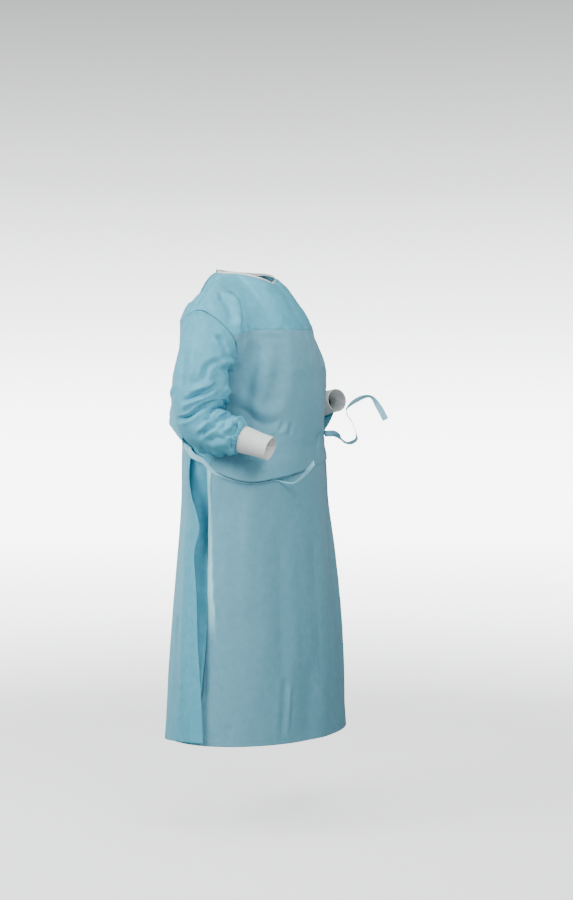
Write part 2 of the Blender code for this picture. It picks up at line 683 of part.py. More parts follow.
def back_left_panel(collection, material):
    """Outer layer of the back, from the left side seam round to the right hip."""
    rows = np.concatenate([BACK_ROWS, LOWER_ROWS])
    drops = station_drop(rows)
    edge = through(drops, BACK_EDGES, 1)[:, None]
    under_edge = through(drops, BACK_EDGES, 2)[:, None]
    angles = left_back_columns(rows)
    lift = flap_lift(angles, rows[:, None], edge, under_edge)
    points = body(angles, rows[:, None], lift)
    low = np.clip(rows - TUCK, 0.0, 1.0)[:, None] ** 2
    rise = FLAP_HEM_RISE * low * smoothstep(1.0 - (edge - angles) / FLAP_HEM_SPAN)
    points[..., 2] += rise
    return wall_object("back_left", points, CLOTH, material, collection)


def sleeve_fold(share, turn):
    """Distance that the folds of a sleeve move its cloth out."""
    length = SLEEVE_LENGTH
    girth = math.radians(1.0) * SLEEVE_RADIUS
    total = np.zeros(np.shape(turn))
    flat = np.stack([share * length * np.ones(np.shape(turn)), turn * girth], axis=-1)
    for first, first_turn, last, last_turn, half_width, out in SLEEVE_FOLDS:
        for lap in (-360.0, 0.0, 360.0):
            start = (first * length, (first_turn + lap) * girth)
            end = (last * length, (last_turn + lap) * girth)
            distance, along = segment_distance(flat, start, end)
            total += out * fold_profile(distance, along, half_width)
    return total


def sleeve_grid(rows, shares, turns):
    """Rings of points down one sleeve, from the armhole to the cuff."""
    side = math.copysign(1.0, rows[0][0])
    side_way = np.array([side, 0.0, 0.0])
    away = np.array([side * ARMHOLE_OUT[0], ARMHOLE_OUT[1], ARMHOLE_OUT[2]])
    start = SLEEVE_START + ARMPIT_START * smoothstep((60.0 - np.abs(turns - 180.0)) / 60.0)
    rings = []
    for share in shares:
        centre, axis, radii = sleeve_axis(rows, share)
        pinch = 1.0 - smoothstep(share / ARMHOLE_BLEND)
        offset = ring_offset(side_way, axis, radii, turns, pinch)
        length = np.linalg.norm(offset, axis=-1)
        inside = (1.0 - pinch) * smoothstep((1.0 - share) * 12.0)
        wave = np.cos(np.radians(turns * GATHERS)) * smoothstep((share - GATHER_START) / GATHER_RAMP)
        out = (sleeve_fold(share, turns) + GATHER_DEPTH * wave) * inside
        ring = centre + offset * (1.0 + out / length)[..., None]
        rings.append(ring + away * (start * pinch)[..., None])
    return np.array(rings)


def sleeve(name, rows, collection, material):
    """A sleeve, gathered into its cuff."""
    shares = spaced(0.002, 2, 0.12, 5, 0.40, 8, 0.72, 4, 0.90, 2, CUFF_SEAM, 1, SLEEVE_END)
    turns = np.arange(SLEEVE_SIDES) * 360.0 / SLEEVE_SIDES
    points = sleeve_grid(rows, shares, turns)
    return wall_object(name, points, CLOTH, material, collection, closed=True, flip=rows[0][0] < 0)


def cuff(name, rows, wrist, collection, material):
    """A knit cuff from the end of the sleeve to the wrist."""
    start, sleeve_end_axis, radii = sleeve_axis(rows, 0.999)
    end = np.array(wrist)
    straight = (end - start) / np.linalg.norm(end - start)
    side = math.copysign(1.0, rows[0][0])
    turns = np.arange(CUFF_SIDES) * 360.0 / CUFF_SIDES
    rings = []
    for share in (0.0, 0.25, 0.5, 0.75, 1.0):
        axis = sleeve_end_axis + (straight - sleeve_end_axis) * smoothstep(share * 2.0)
        axis = axis / np.linalg.norm(axis)
        radius = CUFF_RADIUS + (WRIST_RADIUS - CUFF_RADIUS) * smoothstep(share * 1.4)
        offset = ring_offset(np.array([side, 0.0, 0.0]), axis, [radius] * 4, turns)
        rings.append(start + (end - start) * share + offset)
    points = np.array(rings)
    return wall_object(name, points, KNIT, material, collection, closed=True, flip=side < 0)


def neck_turn(angle):
    """Direction out of the neck, in degrees round it, for a panel column."""
    quarter = 90.0 / (90.0 - RIDGE_SPAN)
    front = (angle - RIDGE_SPAN) * quarter
    back = (angle + RIDGE_SPAN) * quarter
    return np.where(angle > 0, front, back)


def neck_binding(collection, material):
    """Binding along the neckline, lapped at the nape, with its outer end free."""
    top = np.array([NECK])
    under = right_back_columns(top)[0][::-1]
    outer = left_back_columns(top)[0]
    under = under[under <= -RIDGE_SPAN]
    outer = outer[outer >= RIDGE_SPAN - 180.0]
    angles = np.concatenate([under, NECK_COLUMNS, outer])
    lift = np.concatenate([
        np.zeros(len(under) + len(NECK_COLUMNS)),
        flap_lift(outer, NECK, BACK_EDGES[0][1], BACK_EDGES[0][2])])
    edge = body(angles, NECK, lift)
    keep = np.concatenate([[True], np.linalg.norm(np.diff(edge, axis=0), axis=-1) > 2.0 * RIDGE_GAP])
    edge, angles = edge[keep], angles[keep]
    out = outward(neck_turn(angles))
    along = np.arange(len(edge)) - (len(edge) - 1.0)
    tip = smoothstep(1.0 + along / 3.0) * BINDING_TIP
    rows = []
    for inward, up in (BINDING_START, BINDING_END):
        row = edge + out * (0.5 * tip - inward)[:, None]
        row[:, 2] += up + tip
        rows.append(row)
    return wall_object("neck_binding", np.array(rows), BINDING, material, collection, flip=True)


def smooth_path(knots, count):
    """A smooth curve through rows of numbers, evenly shared out between the knots."""
    table = [(float(i),) + tuple(row) for i, row in enumerate(knots)]
    places = np.linspace(0.0, len(knots) - 1.0, count)
    columns = [through(places, table, k + 1) for k in range(len(knots[0]))]
    return np.stack(columns, axis=-1)


def ribbon(name, centres, across, widths, material, collection):
    """A flat tape along a path, with its own direction across at each place."""
    along = np.gradient(centres, axis=0)
    along = along / np.linalg.norm(along, axis=-1)[:, None]
    across = across - along * np.sum(across * along, axis=-1)[:, None]
    across = across / np.linalg.norm(across, axis=-1)[:, None]
    half = (across.T * widths / 2).T
    points = np.stack([centres + half, centres - half])
    return wall_object(name, points, TAPE, material, collection)


def long_tie(collection, material):
    """Tie from the free edge of the flap, forward under the blouse, to its free end."""
    columns = np.concatenate([-RIGHT_COLUMNS[::-1], RIGHT_COLUMNS[1:]])
    angles = columns[(columns > TIE_START) & (columns < TIE_OFF_BODY)]
    first, last = TIE_OFF_FLAP
    on_flap = smoothstep((last - angles) / (last - first))
    widths = through(angles, TIE_DRAWN, 1)
    skirt = HEM_DROP - through(angles, WAIST, 1) - through(angles, WAIST, 3)
    out = outward(angles)
    edges = []
    for below in (TIE_BELOW + 0.0 * widths, TIE_BELOW + widths):
        station = TUCK + below / skirt
        plain = body(angles, station)
        lifted = body(angles, station, LAYER_LIFT + FLAP_EDGE_LIFT)
        edges.append(plain + (lifted - plain) * on_flap[:, None] + out * TIE_LIFT)
    centres = (edges[0] + edges[1]) / 2
    across = (edges[0] - edges[1]) / widths[:, None]
    knots = np.hstack([centres, across, widths[:, None]])
    free = [centre + direction + (width,) for centre, direction, width in LONG_TIE_FREE]
    free = smooth_path([tuple(knots[-2]), tuple(knots[-1])] + free, 4 * len(free) + 5)
    path = np.vstack([knots, free[5:]])
    ribbon("tie_long", path[:, :3], path[:, 3:6], path[:, 6], material, collection)


def short_tie(collection, material):
    """Tie sewn to the left front, drawn forward and up to its free end."""
    angles = np.array(SHORT_TIE_SEAT)
    out = outward(angles) * SHORT_TIE_LIFT
    top, bottom = (body(angles, station) + out for station in SHORT_TIE_STATIONS)
    knots = [tuple(row) for row in np.hstack([(top + bottom) / 2, (top - bottom) / TIE_WIDTH])]
    knots = knots + [centre + across for centre, across in SHORT_TIE_FREE]
    path = smooth_path(knots, 4 * len(knots) + 1)
    ribbon("tie_short", path[:, :3], path[:, 3:6], np.full(len(path), TIE_WIDTH), material, collection)


def build():
    clear_scene()
    collection = new_collection("surgical_gown")
    cloth = make_material("nonwoven", CLOTH_COLOUR, 0.60)
    strong = make_material("reinforced_nonwoven", REINFORCED_COLOUR, 0.52)
    white = make_material("white_knit", WHITE, 0.85)
    front_panels(collection, cloth, strong)
    back_right_panel(collection, cloth)
    back_left_panel(collection, cloth)
    sleeve("sleeve_right", RIGHT_SLEEVE, collection, cloth)
    sleeve("sleeve_left", LEFT_SLEEVE, collection, cloth)
    cuff("cuff_right", RIGHT_SLEEVE, RIGHT_CUFF_END, collection, white)
    cuff("cuff_left", LEFT_SLEEVE, LEFT_CUFF_END, collection, white)
    neck_binding(collection, white)
    tape = make_material("tie_tape", TIE_COLOUR, 0.60)
    long_tie(collection, tape)
    short_tie(collection, tape)


build()
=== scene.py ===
# Surgical gown, dressed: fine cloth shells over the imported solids, in their frame.
# Metres, +Z up. The front faces -Y and the wearer's left is +X.
# Angles go round the body in degrees: 0 at the right side, 90 in front,
# 180 at the left side and -90 behind. Drops are distances below the origin.
import math

import bpy
import numpy as np
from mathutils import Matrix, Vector, noise


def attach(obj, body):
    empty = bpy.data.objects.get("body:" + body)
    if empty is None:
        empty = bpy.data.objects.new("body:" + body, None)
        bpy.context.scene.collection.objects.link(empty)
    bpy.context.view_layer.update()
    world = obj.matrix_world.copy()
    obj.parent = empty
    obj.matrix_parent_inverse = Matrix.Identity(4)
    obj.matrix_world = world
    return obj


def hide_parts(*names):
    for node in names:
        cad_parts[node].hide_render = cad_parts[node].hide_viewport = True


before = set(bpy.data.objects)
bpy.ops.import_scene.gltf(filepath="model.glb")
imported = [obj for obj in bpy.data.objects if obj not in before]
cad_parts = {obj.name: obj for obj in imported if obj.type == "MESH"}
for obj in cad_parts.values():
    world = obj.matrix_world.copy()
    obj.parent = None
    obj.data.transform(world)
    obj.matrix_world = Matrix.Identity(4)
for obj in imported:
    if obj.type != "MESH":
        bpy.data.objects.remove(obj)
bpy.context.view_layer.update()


def metres(values):
    """Numbers or rows in millimetres, as metres."""
    if isinstance(values, tuple):
        return tuple(metres(value) for value in values)
    return values / 1000.0


# Thickness of each cloth, and the gaps at the seams
CLOTH = 0.0007
REINFORCED = 0.0010
KNIT = 0.0012
BINDING = 0.0012
TAPE = 0.0006
SIDE_GAP = 0.0001
SEAM_RADIUS = 0.2
RIDGE_GAP = 0.0006
CHEST_SEAM = 0.0012

# Body axis and the named levels, as drops
AXIS_Y = -0.030
CHEST_LINE = 0.145
ARMPIT_DROP = 0.250
HEM_DROP = 1.178
BLOUSE_RISE = 0.130
UNDERFOLD = 0.005
# Fall of the tuck above which it has no fold under its edge
UNDERFOLD_FALL = 0.008

# Stations down a body panel
NECK, CHEST, ARMPIT, BLOUSE, TUCK, HEM = 0.0, 1.0, 2.0, 3.0, 4.0, 5.0

# Neckline and shoulder ridge
NECK_HALF_WIDTH = 0.075
NECK_FRONT = 0.050
NECK_BACK = 0.105
NECK_SIDE_Z = -0.003
NECK_FRONT_Z = -0.030
NECK_BACK_Z = 0.004
RIDGE_SPAN = 54.0
DOME_FRONT = 1.45
DOME_BACK = 1.80
NECK_CURVE = 0.8
# Ridge from the seam top to the neck: share, distance out, y, z
RIDGE = (
    (0, 0.243, 0.01, -0.1),
    (0.35, 0.185, 0.006, -0.047),
    (1, 0.075, 0, -0.003),
)

# Armhole: a slanted ring, top tilted outward
ARMHOLE_CENTRE = (0.204, -0.010, -0.175)
ARMHOLE_OUT = (0.880, 0.000, -0.4576)
ARMHOLE_RADIUS = 0.0868
ARMHOLE_POINT = 1.40
ARMPIT_FORWARD = 0.020
SEAM_TOP_TURN = 13.0
ARMHOLE_FADE = 42.0
# Share of a sleeve over which it turns from the armhole's shape to its own
ARMHOLE_BLEND = 0.125
ARMHOLE_TILT_BLEND = 0.28
# Middle of the chest, which the shoulder folds move away from
CHEST_MIDDLE = (0.0, -0.010, -0.200)

# Body sections: drop, half width, depth in front, depth behind, squareness
SECTIONS = (
    (0.25, 0.165, 0.163, 0.18, 2.5),
    (0.33, 0.157, 0.17, 0.182, 2.5),
    (0.4, 0.167, 0.167, 0.18, 2.4),
    (0.44, 0.188, 0.164, 0.176, 2.2),
    (0.488, 0.212, 0.167, 0.17, 2.1),
    (0.605, 0.228, 0.175, 0.171, 2),
    (0.733, 0.247, 0.187, 0.178, 2),
    (0.85, 0.264, 0.198, 0.186, 2),
    (0.955, 0.276, 0.206, 0.192, 2),
    (1.18, 0.291, 0.216, 0.204, 2),
)

# Cloth bloused over the waist: angle, drop of its lower edge, depth, fall of the tuck
WAIST = (
    (-180, 0.455, 0.012, 0.008),
    (-130, 0.424, 0.02, 0.016),
    (-90, 0.4, 0.026, 0.018),
    (-50, 0.384, 0.032, 0.016),
    (-24, 0.424, 0.024, 0.01),
    (-6, 0.472, 0.016, 0.005),
    (8, 0.505, 0.015, 0.003),
    (24, 0.523, 0.014, 0.002),
    (45, 0.516, 0.012, 0.002),
    (64, 0.505, 0.008, 0.004),
    (90, 0.49, 0.002, 0.008),
    (120, 0.48, 0.002, 0.008),
    (150, 0.468, 0.007, 0.008),
    (180, 0.455, 0.012, 0.008),
)

# Free edge of the flap and edge of the layer under it: drop, flap angle, under angle
BACK_EDGES = (
    (-0.01, -72, -106),
    (0.1, -68, -108),
    (0.25, -58, -112),
    (0.36, -42, -115),
    (0.45, -25, -118),
    (0.54, -15.5, -119),
    (0.61, -6, -120),
    (0.67, -8.5, -121),
    (0.76, -4.8, -122),
    (0.9, -1.2, -123),
    (1.03, 2, -124),
    (1.18, 4, -124),
)
# Lift of the outer back layer at the neck and from the armpits down, and at its free edge
LAYER_LIFT_TOP = 0.0012
LAYER_LIFT = 0.0060
FLAP_EDGE_LIFT = 0.0060
LAYER_RAMP = 16.0
LAYER_AHEAD = 20.0
FLAP_HEM_RISE = 0.020
# Angles over which the flap's free edge and its hem lift away
FLAP_EDGE_SPAN = 30.0
FLAP_HEM_SPAN = 40.0
# Stations at which the flap's free edge starts to lift, and over which it does
FLAP_LIFT_START = 2.6
FLAP_LIFT_RAMP = 0.4
# Stations below the armpit over which a layer's lift turns level
LIFT_TURN = 0.8

# Distance from the axis at which the folds of the body are measured
FOLD_RADIUS = 0.19
# How fast a fold starts and ends along its length, and its depth right at its ends
FOLD_FADE = 4.0
FOLD_END = 0.35
# Angle from a side seam over which the drag folds reach the armpit level
FOLD_CLEAR = 12.0
# Soft folds of the body: angle and drop of each end, half width, distance out
TRUNK_FOLDS = (
    # Drag folds from the chest line down to the blouse
    (33, 0.17, 20, 0.34, 0.018, -0.0055),
    (56, 0.18, 40, 0.35, 0.02, -0.003),
    (43, 0.21, 29, 0.37, 0.019, 0.004),
    (66, 0.24, 46, 0.39, 0.022, 0.0028),
    (142, 0.18, 154, 0.36, 0.024, -0.007),
    # Long soft folds of the skirt
    (26, 0.54, 20, 0.86, 0.024, 0.004),
    (70, 0.98, 66, 1.18, 0.026, -0.006),
    (84, 0.8, 80, 1.18, 0.028, 0.005),
    (150, 0.6, 146, 1.18, 0.038, -0.01),
    (172, 0.55, 170, 1.18, 0.038, 0.009),
    (-60, 0.75, -52, 1.18, 0.045, -0.006),
    (-92, 0.55, -84, 1.18, 0.05, 0.006),
    (-122, 0.5, -118, 1.18, 0.05, -0.006),
    (-155, 0.5, -150, 1.18, 0.045, 0.01),
    # Folds of the back above the waist
    (-78, 0.2, -70, 0.36, 0.03, 0.005),
    (-104, 0.16, -98, 0.36, 0.03, -0.005),
    (-145, 0.22, -135, 0.38, 0.026, 0.006),
)

# Valley beside the flap, in the layers that lie under it, and the ridge in front of it
VALLEY_FOLDS = (
    (-12, 0.49, -7, 0.8, 0.024, -0.014),
    (-7, 0.8, 0, 1.08, 0.024, -0.008),
    (1, 0.48, 5, 0.84, 0.017, 0.008),
)

# Angle from a side seam over which the shoulder folds start, and how fast they start below the
# neck and end above the armpits
YOKE_CLEAR = 4.0
YOKE_START = 4.0
YOKE_END = 3.0
# Soft folds of the shoulders and chest, in millimetres: both ends, half width, distance out
YOKE_FOLDS = metres((
    ((-150, -30, -50), (-175, -110, -120), 12, -6),
    ((-178, -105, -110), (-172, -105, -200), 11, 6),
    ((-160, -120, -115), (-155, -125, -210), 12, -7),
    ((150, -30, -50), (180, -100, -120), 14, -5),
    ((165, -120, -110), (160, -120, -210), 14, -6),
    ((-160, 70, -75), (-172, 85, -140), 36, 22),
    ((120, 90, -60), (170, 110, -190), 18, -6),
))

# Sleeve centre lines and radii in millimetres: x, y, z, outer, inner, front and back radius
RIGHT_SLEEVE = metres((
    (-204, -10, -175, 86.8, 86.8, 78, 78),
    (-225, -5, -225, 64, 58, 72, 66),
    (-238, -4, -285, 64, 60, 76, 70),
    (-246, -6, -335, 62, 62, 72, 68),
    (-250, -26, -374, 62, 60, 54, 68),
    (-247, -60, -396, 58, 55, 50, 62),
    (-241, -94, -407, 53, 49, 47, 54),
    (-236.5, -115, -413.5, 47, 44, 45, 47),
    (-235, -126, -417, 33, 33, 33, 33),
))
LEFT_SLEEVE = metres((
    (204, -10, -175, 86.8, 86.8, 78, 78),
    (225, -5, -225, 68, 58, 72, 72),
    (239, -6, -278, 64, 60, 58, 70),
    (249, -4, -325, 62, 54, 38, 68),
    (247, -24, -362, 60, 46, 32, 66),
    (231, -58, -370, 57, 45, 35, 60),
    (209, -88, -358, 52, 46, 41, 53),
    (193, -106, -342, 46, 43, 44, 46),
    (186, -116.5, -338.5, 33, 33, 33, 33),
))
RIGHT_CUFF_END = (-0.2275, -0.200, -0.439)
LEFT_CUFF_END = (0.153, -0.186, -0.3277)
CUFF_RADIUS = 0.033
WRIST_RADIUS = 0.029
# Share of a sleeve at which its cuff starts, and how fast the cuff turns straight and narrows
CUFF_START = 0.999
CUFF_BEND = 2.0
CUFF_NARROWING = 1.4
CUFF_SEAM = 0.965
# Share at which a sleeve's rings start to turn square to the cuff, and over which they do
CUFF_TURN_START = 0.86
CUFF_TURN_SPAN = 0.10
GATHERS = 6
GATHER_DEPTH = 0.0030
GATHER_START = 0.72
GATHER_RAMP = 0.20
# Body cloth under the sleeves: clear distance, softness of the dent, how fast it starts, shares
# of a sleeve that press on it, and how much of the back radius does
SLEEVE_CLEAR = 0.006
DENT_SOFTNESS = 0.010
DENT_START = 0.035
DENT_SHARES = np.linspace(0.2, 1.0, 33)
DENT_BACK = 0.9
# Rough length and radius of a sleeve, for measuring its folds
SLEEVE_LENGTH = 0.40
SLEEVE_RADIUS = 0.066
# Folds of both sleeves: share down and turn of each end, half width, distance out
SLEEVE_FOLDS = (
    (0.2, 60, 0.36, 85, 0.014, -0.006),
    (0.5, 60, 0.5, 130, 0.01, -0.007),
    (0.58, 20, 0.56, 110, 0.01, -0.008),
    (0.64, 40, 0.66, 140, 0.01, 0.006),
    (0.72, 10, 0.7, 100, 0.01, -0.007),
    (0.8, 60, 0.82, 200, 0.01, 0.006),
    (0.86, -40, 0.84, 60, 0.01, -0.006),
    (0.56, -150, 0.6, -60, 0.012, 0.005),
    (0.74, -140, 0.78, -50, 0.012, -0.005),
)

# Start of a sleeve outside its armhole: all round, further at the armpit, and over which turn
SLEEVE_START = 0.0003
ARMPIT_START = 0.0015
ARMPIT_TURN = 60.0
# Share at which the cloth of a sleeve ends, and how fast its folds die away towards it
SLEEVE_END = 0.990
SLEEVE_CALM = 12.0

# Binding round the neckline: clear of the panel edge, then up and in
BINDING_START = (0.0012, 0.0005)
BINDING_END = (0.0036, 0.0060)
BINDING_SHARES = np.linspace(0.0, 1.0, 7)
BINDING_BELLY = 0.0009
# Rise of its free end, and the length that rises
BINDING_TIP = 0.006
BINDING_TIP_LENGTH = 0.030

# Waist ties
TIE_WIDTH = 0.016
TIE_LIFT = 0.0026
TIE_BELOW = 0.002
TIE_CUP = 0.0006
# Points across a tie, and steps along it between two places of its free end
TIE_ACROSS = 11
TIE_STEPS = 14
LONG_TIE_STEPS = 16
# Long tie on the body, just under the bloused cloth: where it starts, leaves the flap
# and leaves the body
TIE_START = -36.0
TIE_OFF_FLAP = (-22.0, -8.0)
TIE_OFF_BODY = 45.0
# Width of the long tie as it is drawn tight: angle, width
TIE_DRAWN = (
    (-28, 0.016),
    (-8, 0.012),
    (8, 0.005),
    (20, 0.0025),
)
# Free ends of the ties: place of the middle, direction across the tape, width
LONG_TIE_FREE = (
    ((-0.116, -0.197, -0.53), (0.05, 0, 1), 0.004),
    ((-0.12, -0.222, -0.52), (0.1, 0, 1), 0.009),
    ((-0.134, -0.252, -0.499), (0.2, 0, 1), 0.015),
    ((-0.15, -0.28, -0.476), (0.25, 0.1, 1), 0.016),
)
SHORT_TIE_SEAT = (136.0, 130.0, 124.0)
SHORT_TIE_STATIONS = (2.680, 2.750)
SHORT_TIE_LIFT = 0.0038
SHORT_TIE_FREE = (
    ((0.086, -0.212, -0.412), (0, 0, 1)),
    ((0.058, -0.244, -0.419), (-0.15, 0.15, 1)),
    ((0.03, -0.268, -0.428), (-0.5, 0.3, 0.8)),
    ((0.01, -0.297, -0.432), (-0.85, 0.3, 0.4)),
    ((-0.001, -0.321, -0.42), (-0.9, -0.1, 0.2)),
    ((0.001, -0.3175, -0.399), (-0.87, -0.4, 0.1)),
    ((0.022, -0.297, -0.379), (-0.87, -0.5, 0)),
    ((0.07, -0.2565, -0.35), (-0.87, -0.4, 0.2)),
    ((0.09, -0.278, -0.324), (-0.75, 0, 0.6)),
    ((0.1, -0.31, -0.316), (-0.73, -0.54, 0.4)),
    ((0.11, -0.33, -0.344), (0.14, -0.84, 0.52)),
    ((0.119, -0.344, -0.375), (0.42, -0.73, 0.55)),
)

# Creases of the front that show: half width, distance out, lean to one side, and the path's
# points, with all lengths in millimetres
FRONT_CREASES = (
    # Shoulder ridge with the dark hollow in front of it
    (11, 9, 0.2, (-156, -32, -48), (-159, -51, -71), (-172, -76, -104), (-180, -87, -122),
     (-194, -90, -137), (-196, -94, -165)),
    (9, -8.5, 0, (-145, -40, -53), (-143, -59, -74), (-136, -70, -84)),
    (8, -9, 0.2, (-160, -82, -100), (-170, -90, -117), (-176, -98, -140), (-172, -102, -170)),
    (6, -2.2, 0, (-222, -13, -77), (-236, -33, -103)),
    (7, -2.5, 0, (-175, -26, -49), (-198, -48, -80)),
    # Puckers along the chest seam
    (6, -3.2, 0, (-188, -100, -157), (-156, -104, -164)),
    (6, -3, 0, (-134, -118, -164), (-109, -139, -164), (-80, -162, -174)),
    # Drag folds from the chest to the waist
    (15, -2.2, 0.2, (-141, -113, -167), (-157, -108, -227), (-149, -86, -322)),
    (14, 1.6, 0, (-132, -128, -184), (-144, -141, -252), (-148, -123, -307), (-150, -89, -335)),
    (12, -4.2, 0, (-158, -53, -335), (-153, -88, -350), (-142, -131, -382), (-99, -179, -365)),
    (6, -3.2, 0, (-106, -174, -375), (-121, -162, -405)),
    (6, -3, 0, (-87, -183, -378), (-95, -180, -415)),
    # Short creases just above the bloused edge
    (7, -3.2, 0.2, (-171, -130, -456), (-197, -111, -475)),
    (7, -3.5, 0.2, (-153, -155, -466), (-179, -144, -493)),
    # Long soft folds and two sharp creases of the skirt
    (6, 4.2, 0, (-148, -209, -1023), (-155, -210, -1094), (-163, -209, -1157)),
    (9, -3.5, 0, (-157, -204, -1013), (-165, -204, -1094), (-174, -203, -1165)),
    (5, -2.5, 0.3, (-270, -105, -1123), (-271, -108, -1172)),
    (22, -3.2, 0, (-131, -176, -621), (-153, -189, -818), (-169, -201, -1063)),
    (16, 3, 0, (-224, -66, -550), (-240, -79, -692), (-260, -93, -936)),
    (20, -3.2, 0, (-24, -207, -627), (-31, -228, -828), (-40, -244, -1078)),
    (10, 4, 0, (-237, -33, -719), (-255, -47, -828)),
)

# Creases all round the body: half width and distance out in millimetres, lean, and the path's
# points as angle and station
TURNED_CREASES = (
    # Left shoulder and the drag folds under it
    (11, 6.5, 0.2, (142, 0.25), (150, 0.62), (154, 0.95)),
    (9, -5.5, 0, (134, 0.3), (141, 0.62), (146, 0.98)),
    (12, -5, 0, (146, 1.05), (150, 1.6), (153, 2.3)),
    (12, -5, 0, (128, 1.1), (134, 1.8), (143, 2.35)),
    (14, 4.5, 0, (118, 1.3), (124, 2), (138, 2.55)),
    (6, -3, 0, (150, 2.62), (140, 2.8)),
    (6, -2.8, 0, (128, 2.7), (118, 2.86)),
    (6, -2.6, 0, (104, 2.66), (98, 2.88)),
    # Folds of the left side and back of the skirt
    (18, 4, 0, (128, 4.1), (124, 4.5), (122, 4.96)),
    (12, -4, 0, (158, 4.08), (154, 4.4), (152, 4.8)),
    (7, 3, 0, (136, 4.62), (138, 4.98)),
    (18, -4, 0, (-168, 4.05), (-164, 4.45), (-162, 4.97)),
    (16, 4.5, 0, (-140, 4.02), (-136, 4.4), (-135, 4.9)),
    (20, -4.5, 0, (-104, 4.05), (-100, 4.45), (-98, 4.97)),
    (14, 4, 0, (-72, 4.04), (-68, 4.35), (-69, 4.8)),
    (7, -3, 0, (-86, 4.55), (-82, 4.98)),
    (7, 2.8, 0, (-128, 4.6), (-126, 4.97)),
    # Folds drawn in to the waist at the back
    (10, 5, 0, (-60, 2.5), (-66, 2.8), (-70, 2.94)),
    (8, -5, 0, (-76, 2.35), (-79, 2.7), (-80, 2.94)),
    (10, 5, 0, (-92, 2.45), (-91, 2.75), (-90, 2.93)),
    (8, -4.5, 0, (-106, 2.3), (-102, 2.65), (-101, 2.92)),
    (10, 4.5, 0, (-124, 2.5), (-118, 2.78), (-116, 2.94)),
    (8, -4.5, 0, (-140, 2.4), (-136, 2.72), (-134, 2.93)),
    (10, 4, 0, (-158, 2.55), (-154, 2.8), (-153, 2.94)),
    # Folds between the shoulder blades and down from the armholes
    (12, -4.5, 0, (-28, 0.8), (-40, 1.4), (-48, 2.1)),
    (10, 4.5, 0, (-38, 0.55), (-54, 1.2), (-62, 1.9)),
    (12, -4.5, 0, (-150, 0.8), (-138, 1.4), (-132, 2.2)),
    (10, 4.5, 0, (-142, 0.5), (-128, 1.15), (-120, 1.8)),
    (14, -3, 0, (-84, 0.6), (-86, 1.2), (-82, 2)),
    (7, -3, 0.2, (-24, 2.1), (-34, 2.4), (-50, 2.62)),
    (7, -3, 0.2, (-164, 2.05), (-156, 2.35), (-142, 2.6)),
)

# Deep fold of the skirt beside the flap, in the front and the under layer, with the same columns
SIDE_FOLD = (
    (17, -11, 0.05, (-13, 3.98), (-10.5, 4.08), (-9, 4.2), (-6, 4.3), (-3.5, 4.4), (-1.5, 4.5),
     (0.5, 4.62), (1.5, 4.74), (2.5, 4.86)),
    (18, -10, 0, (-23, 3.94), (-19, 4.06), (-14, 4.16), (-9, 4.27)),
)

# Painted highlight of the skirt beside the flap, a pale strip that stands in for light on the fold:
# half width, softness of its edge, and its path as angle and station
PAINTED_HIGHLIGHT_HALF_WIDTH = 0.0115
PAINTED_HIGHLIGHT_SOFTNESS = 0.004
PAINTED_HIGHLIGHT_PATH = ((-3.6, 3.98), (-2.6, 4.1), (-1, 4.2), (0.8, 4.3), (2.4, 4.4), (4, 4.5), (5.6, 4.62))
# Station at which the painted highlight ends, and over which it fades
PAINTED_HIGHLIGHT_END = 4.63
PAINTED_HIGHLIGHT_FADE = 0.16

# Creases of the flap alone, with all lengths in millimetres
FLAP_CREASES = (
    (6, 3, 0, (-238, 63, -857), (-242, 63, -900), (-246, 63, -944)),
    (18, 3.5, 0, (-211, 55, -625), (-246, 31, -771), (-274, 23, -967), (-291, 15, -1150)),
)

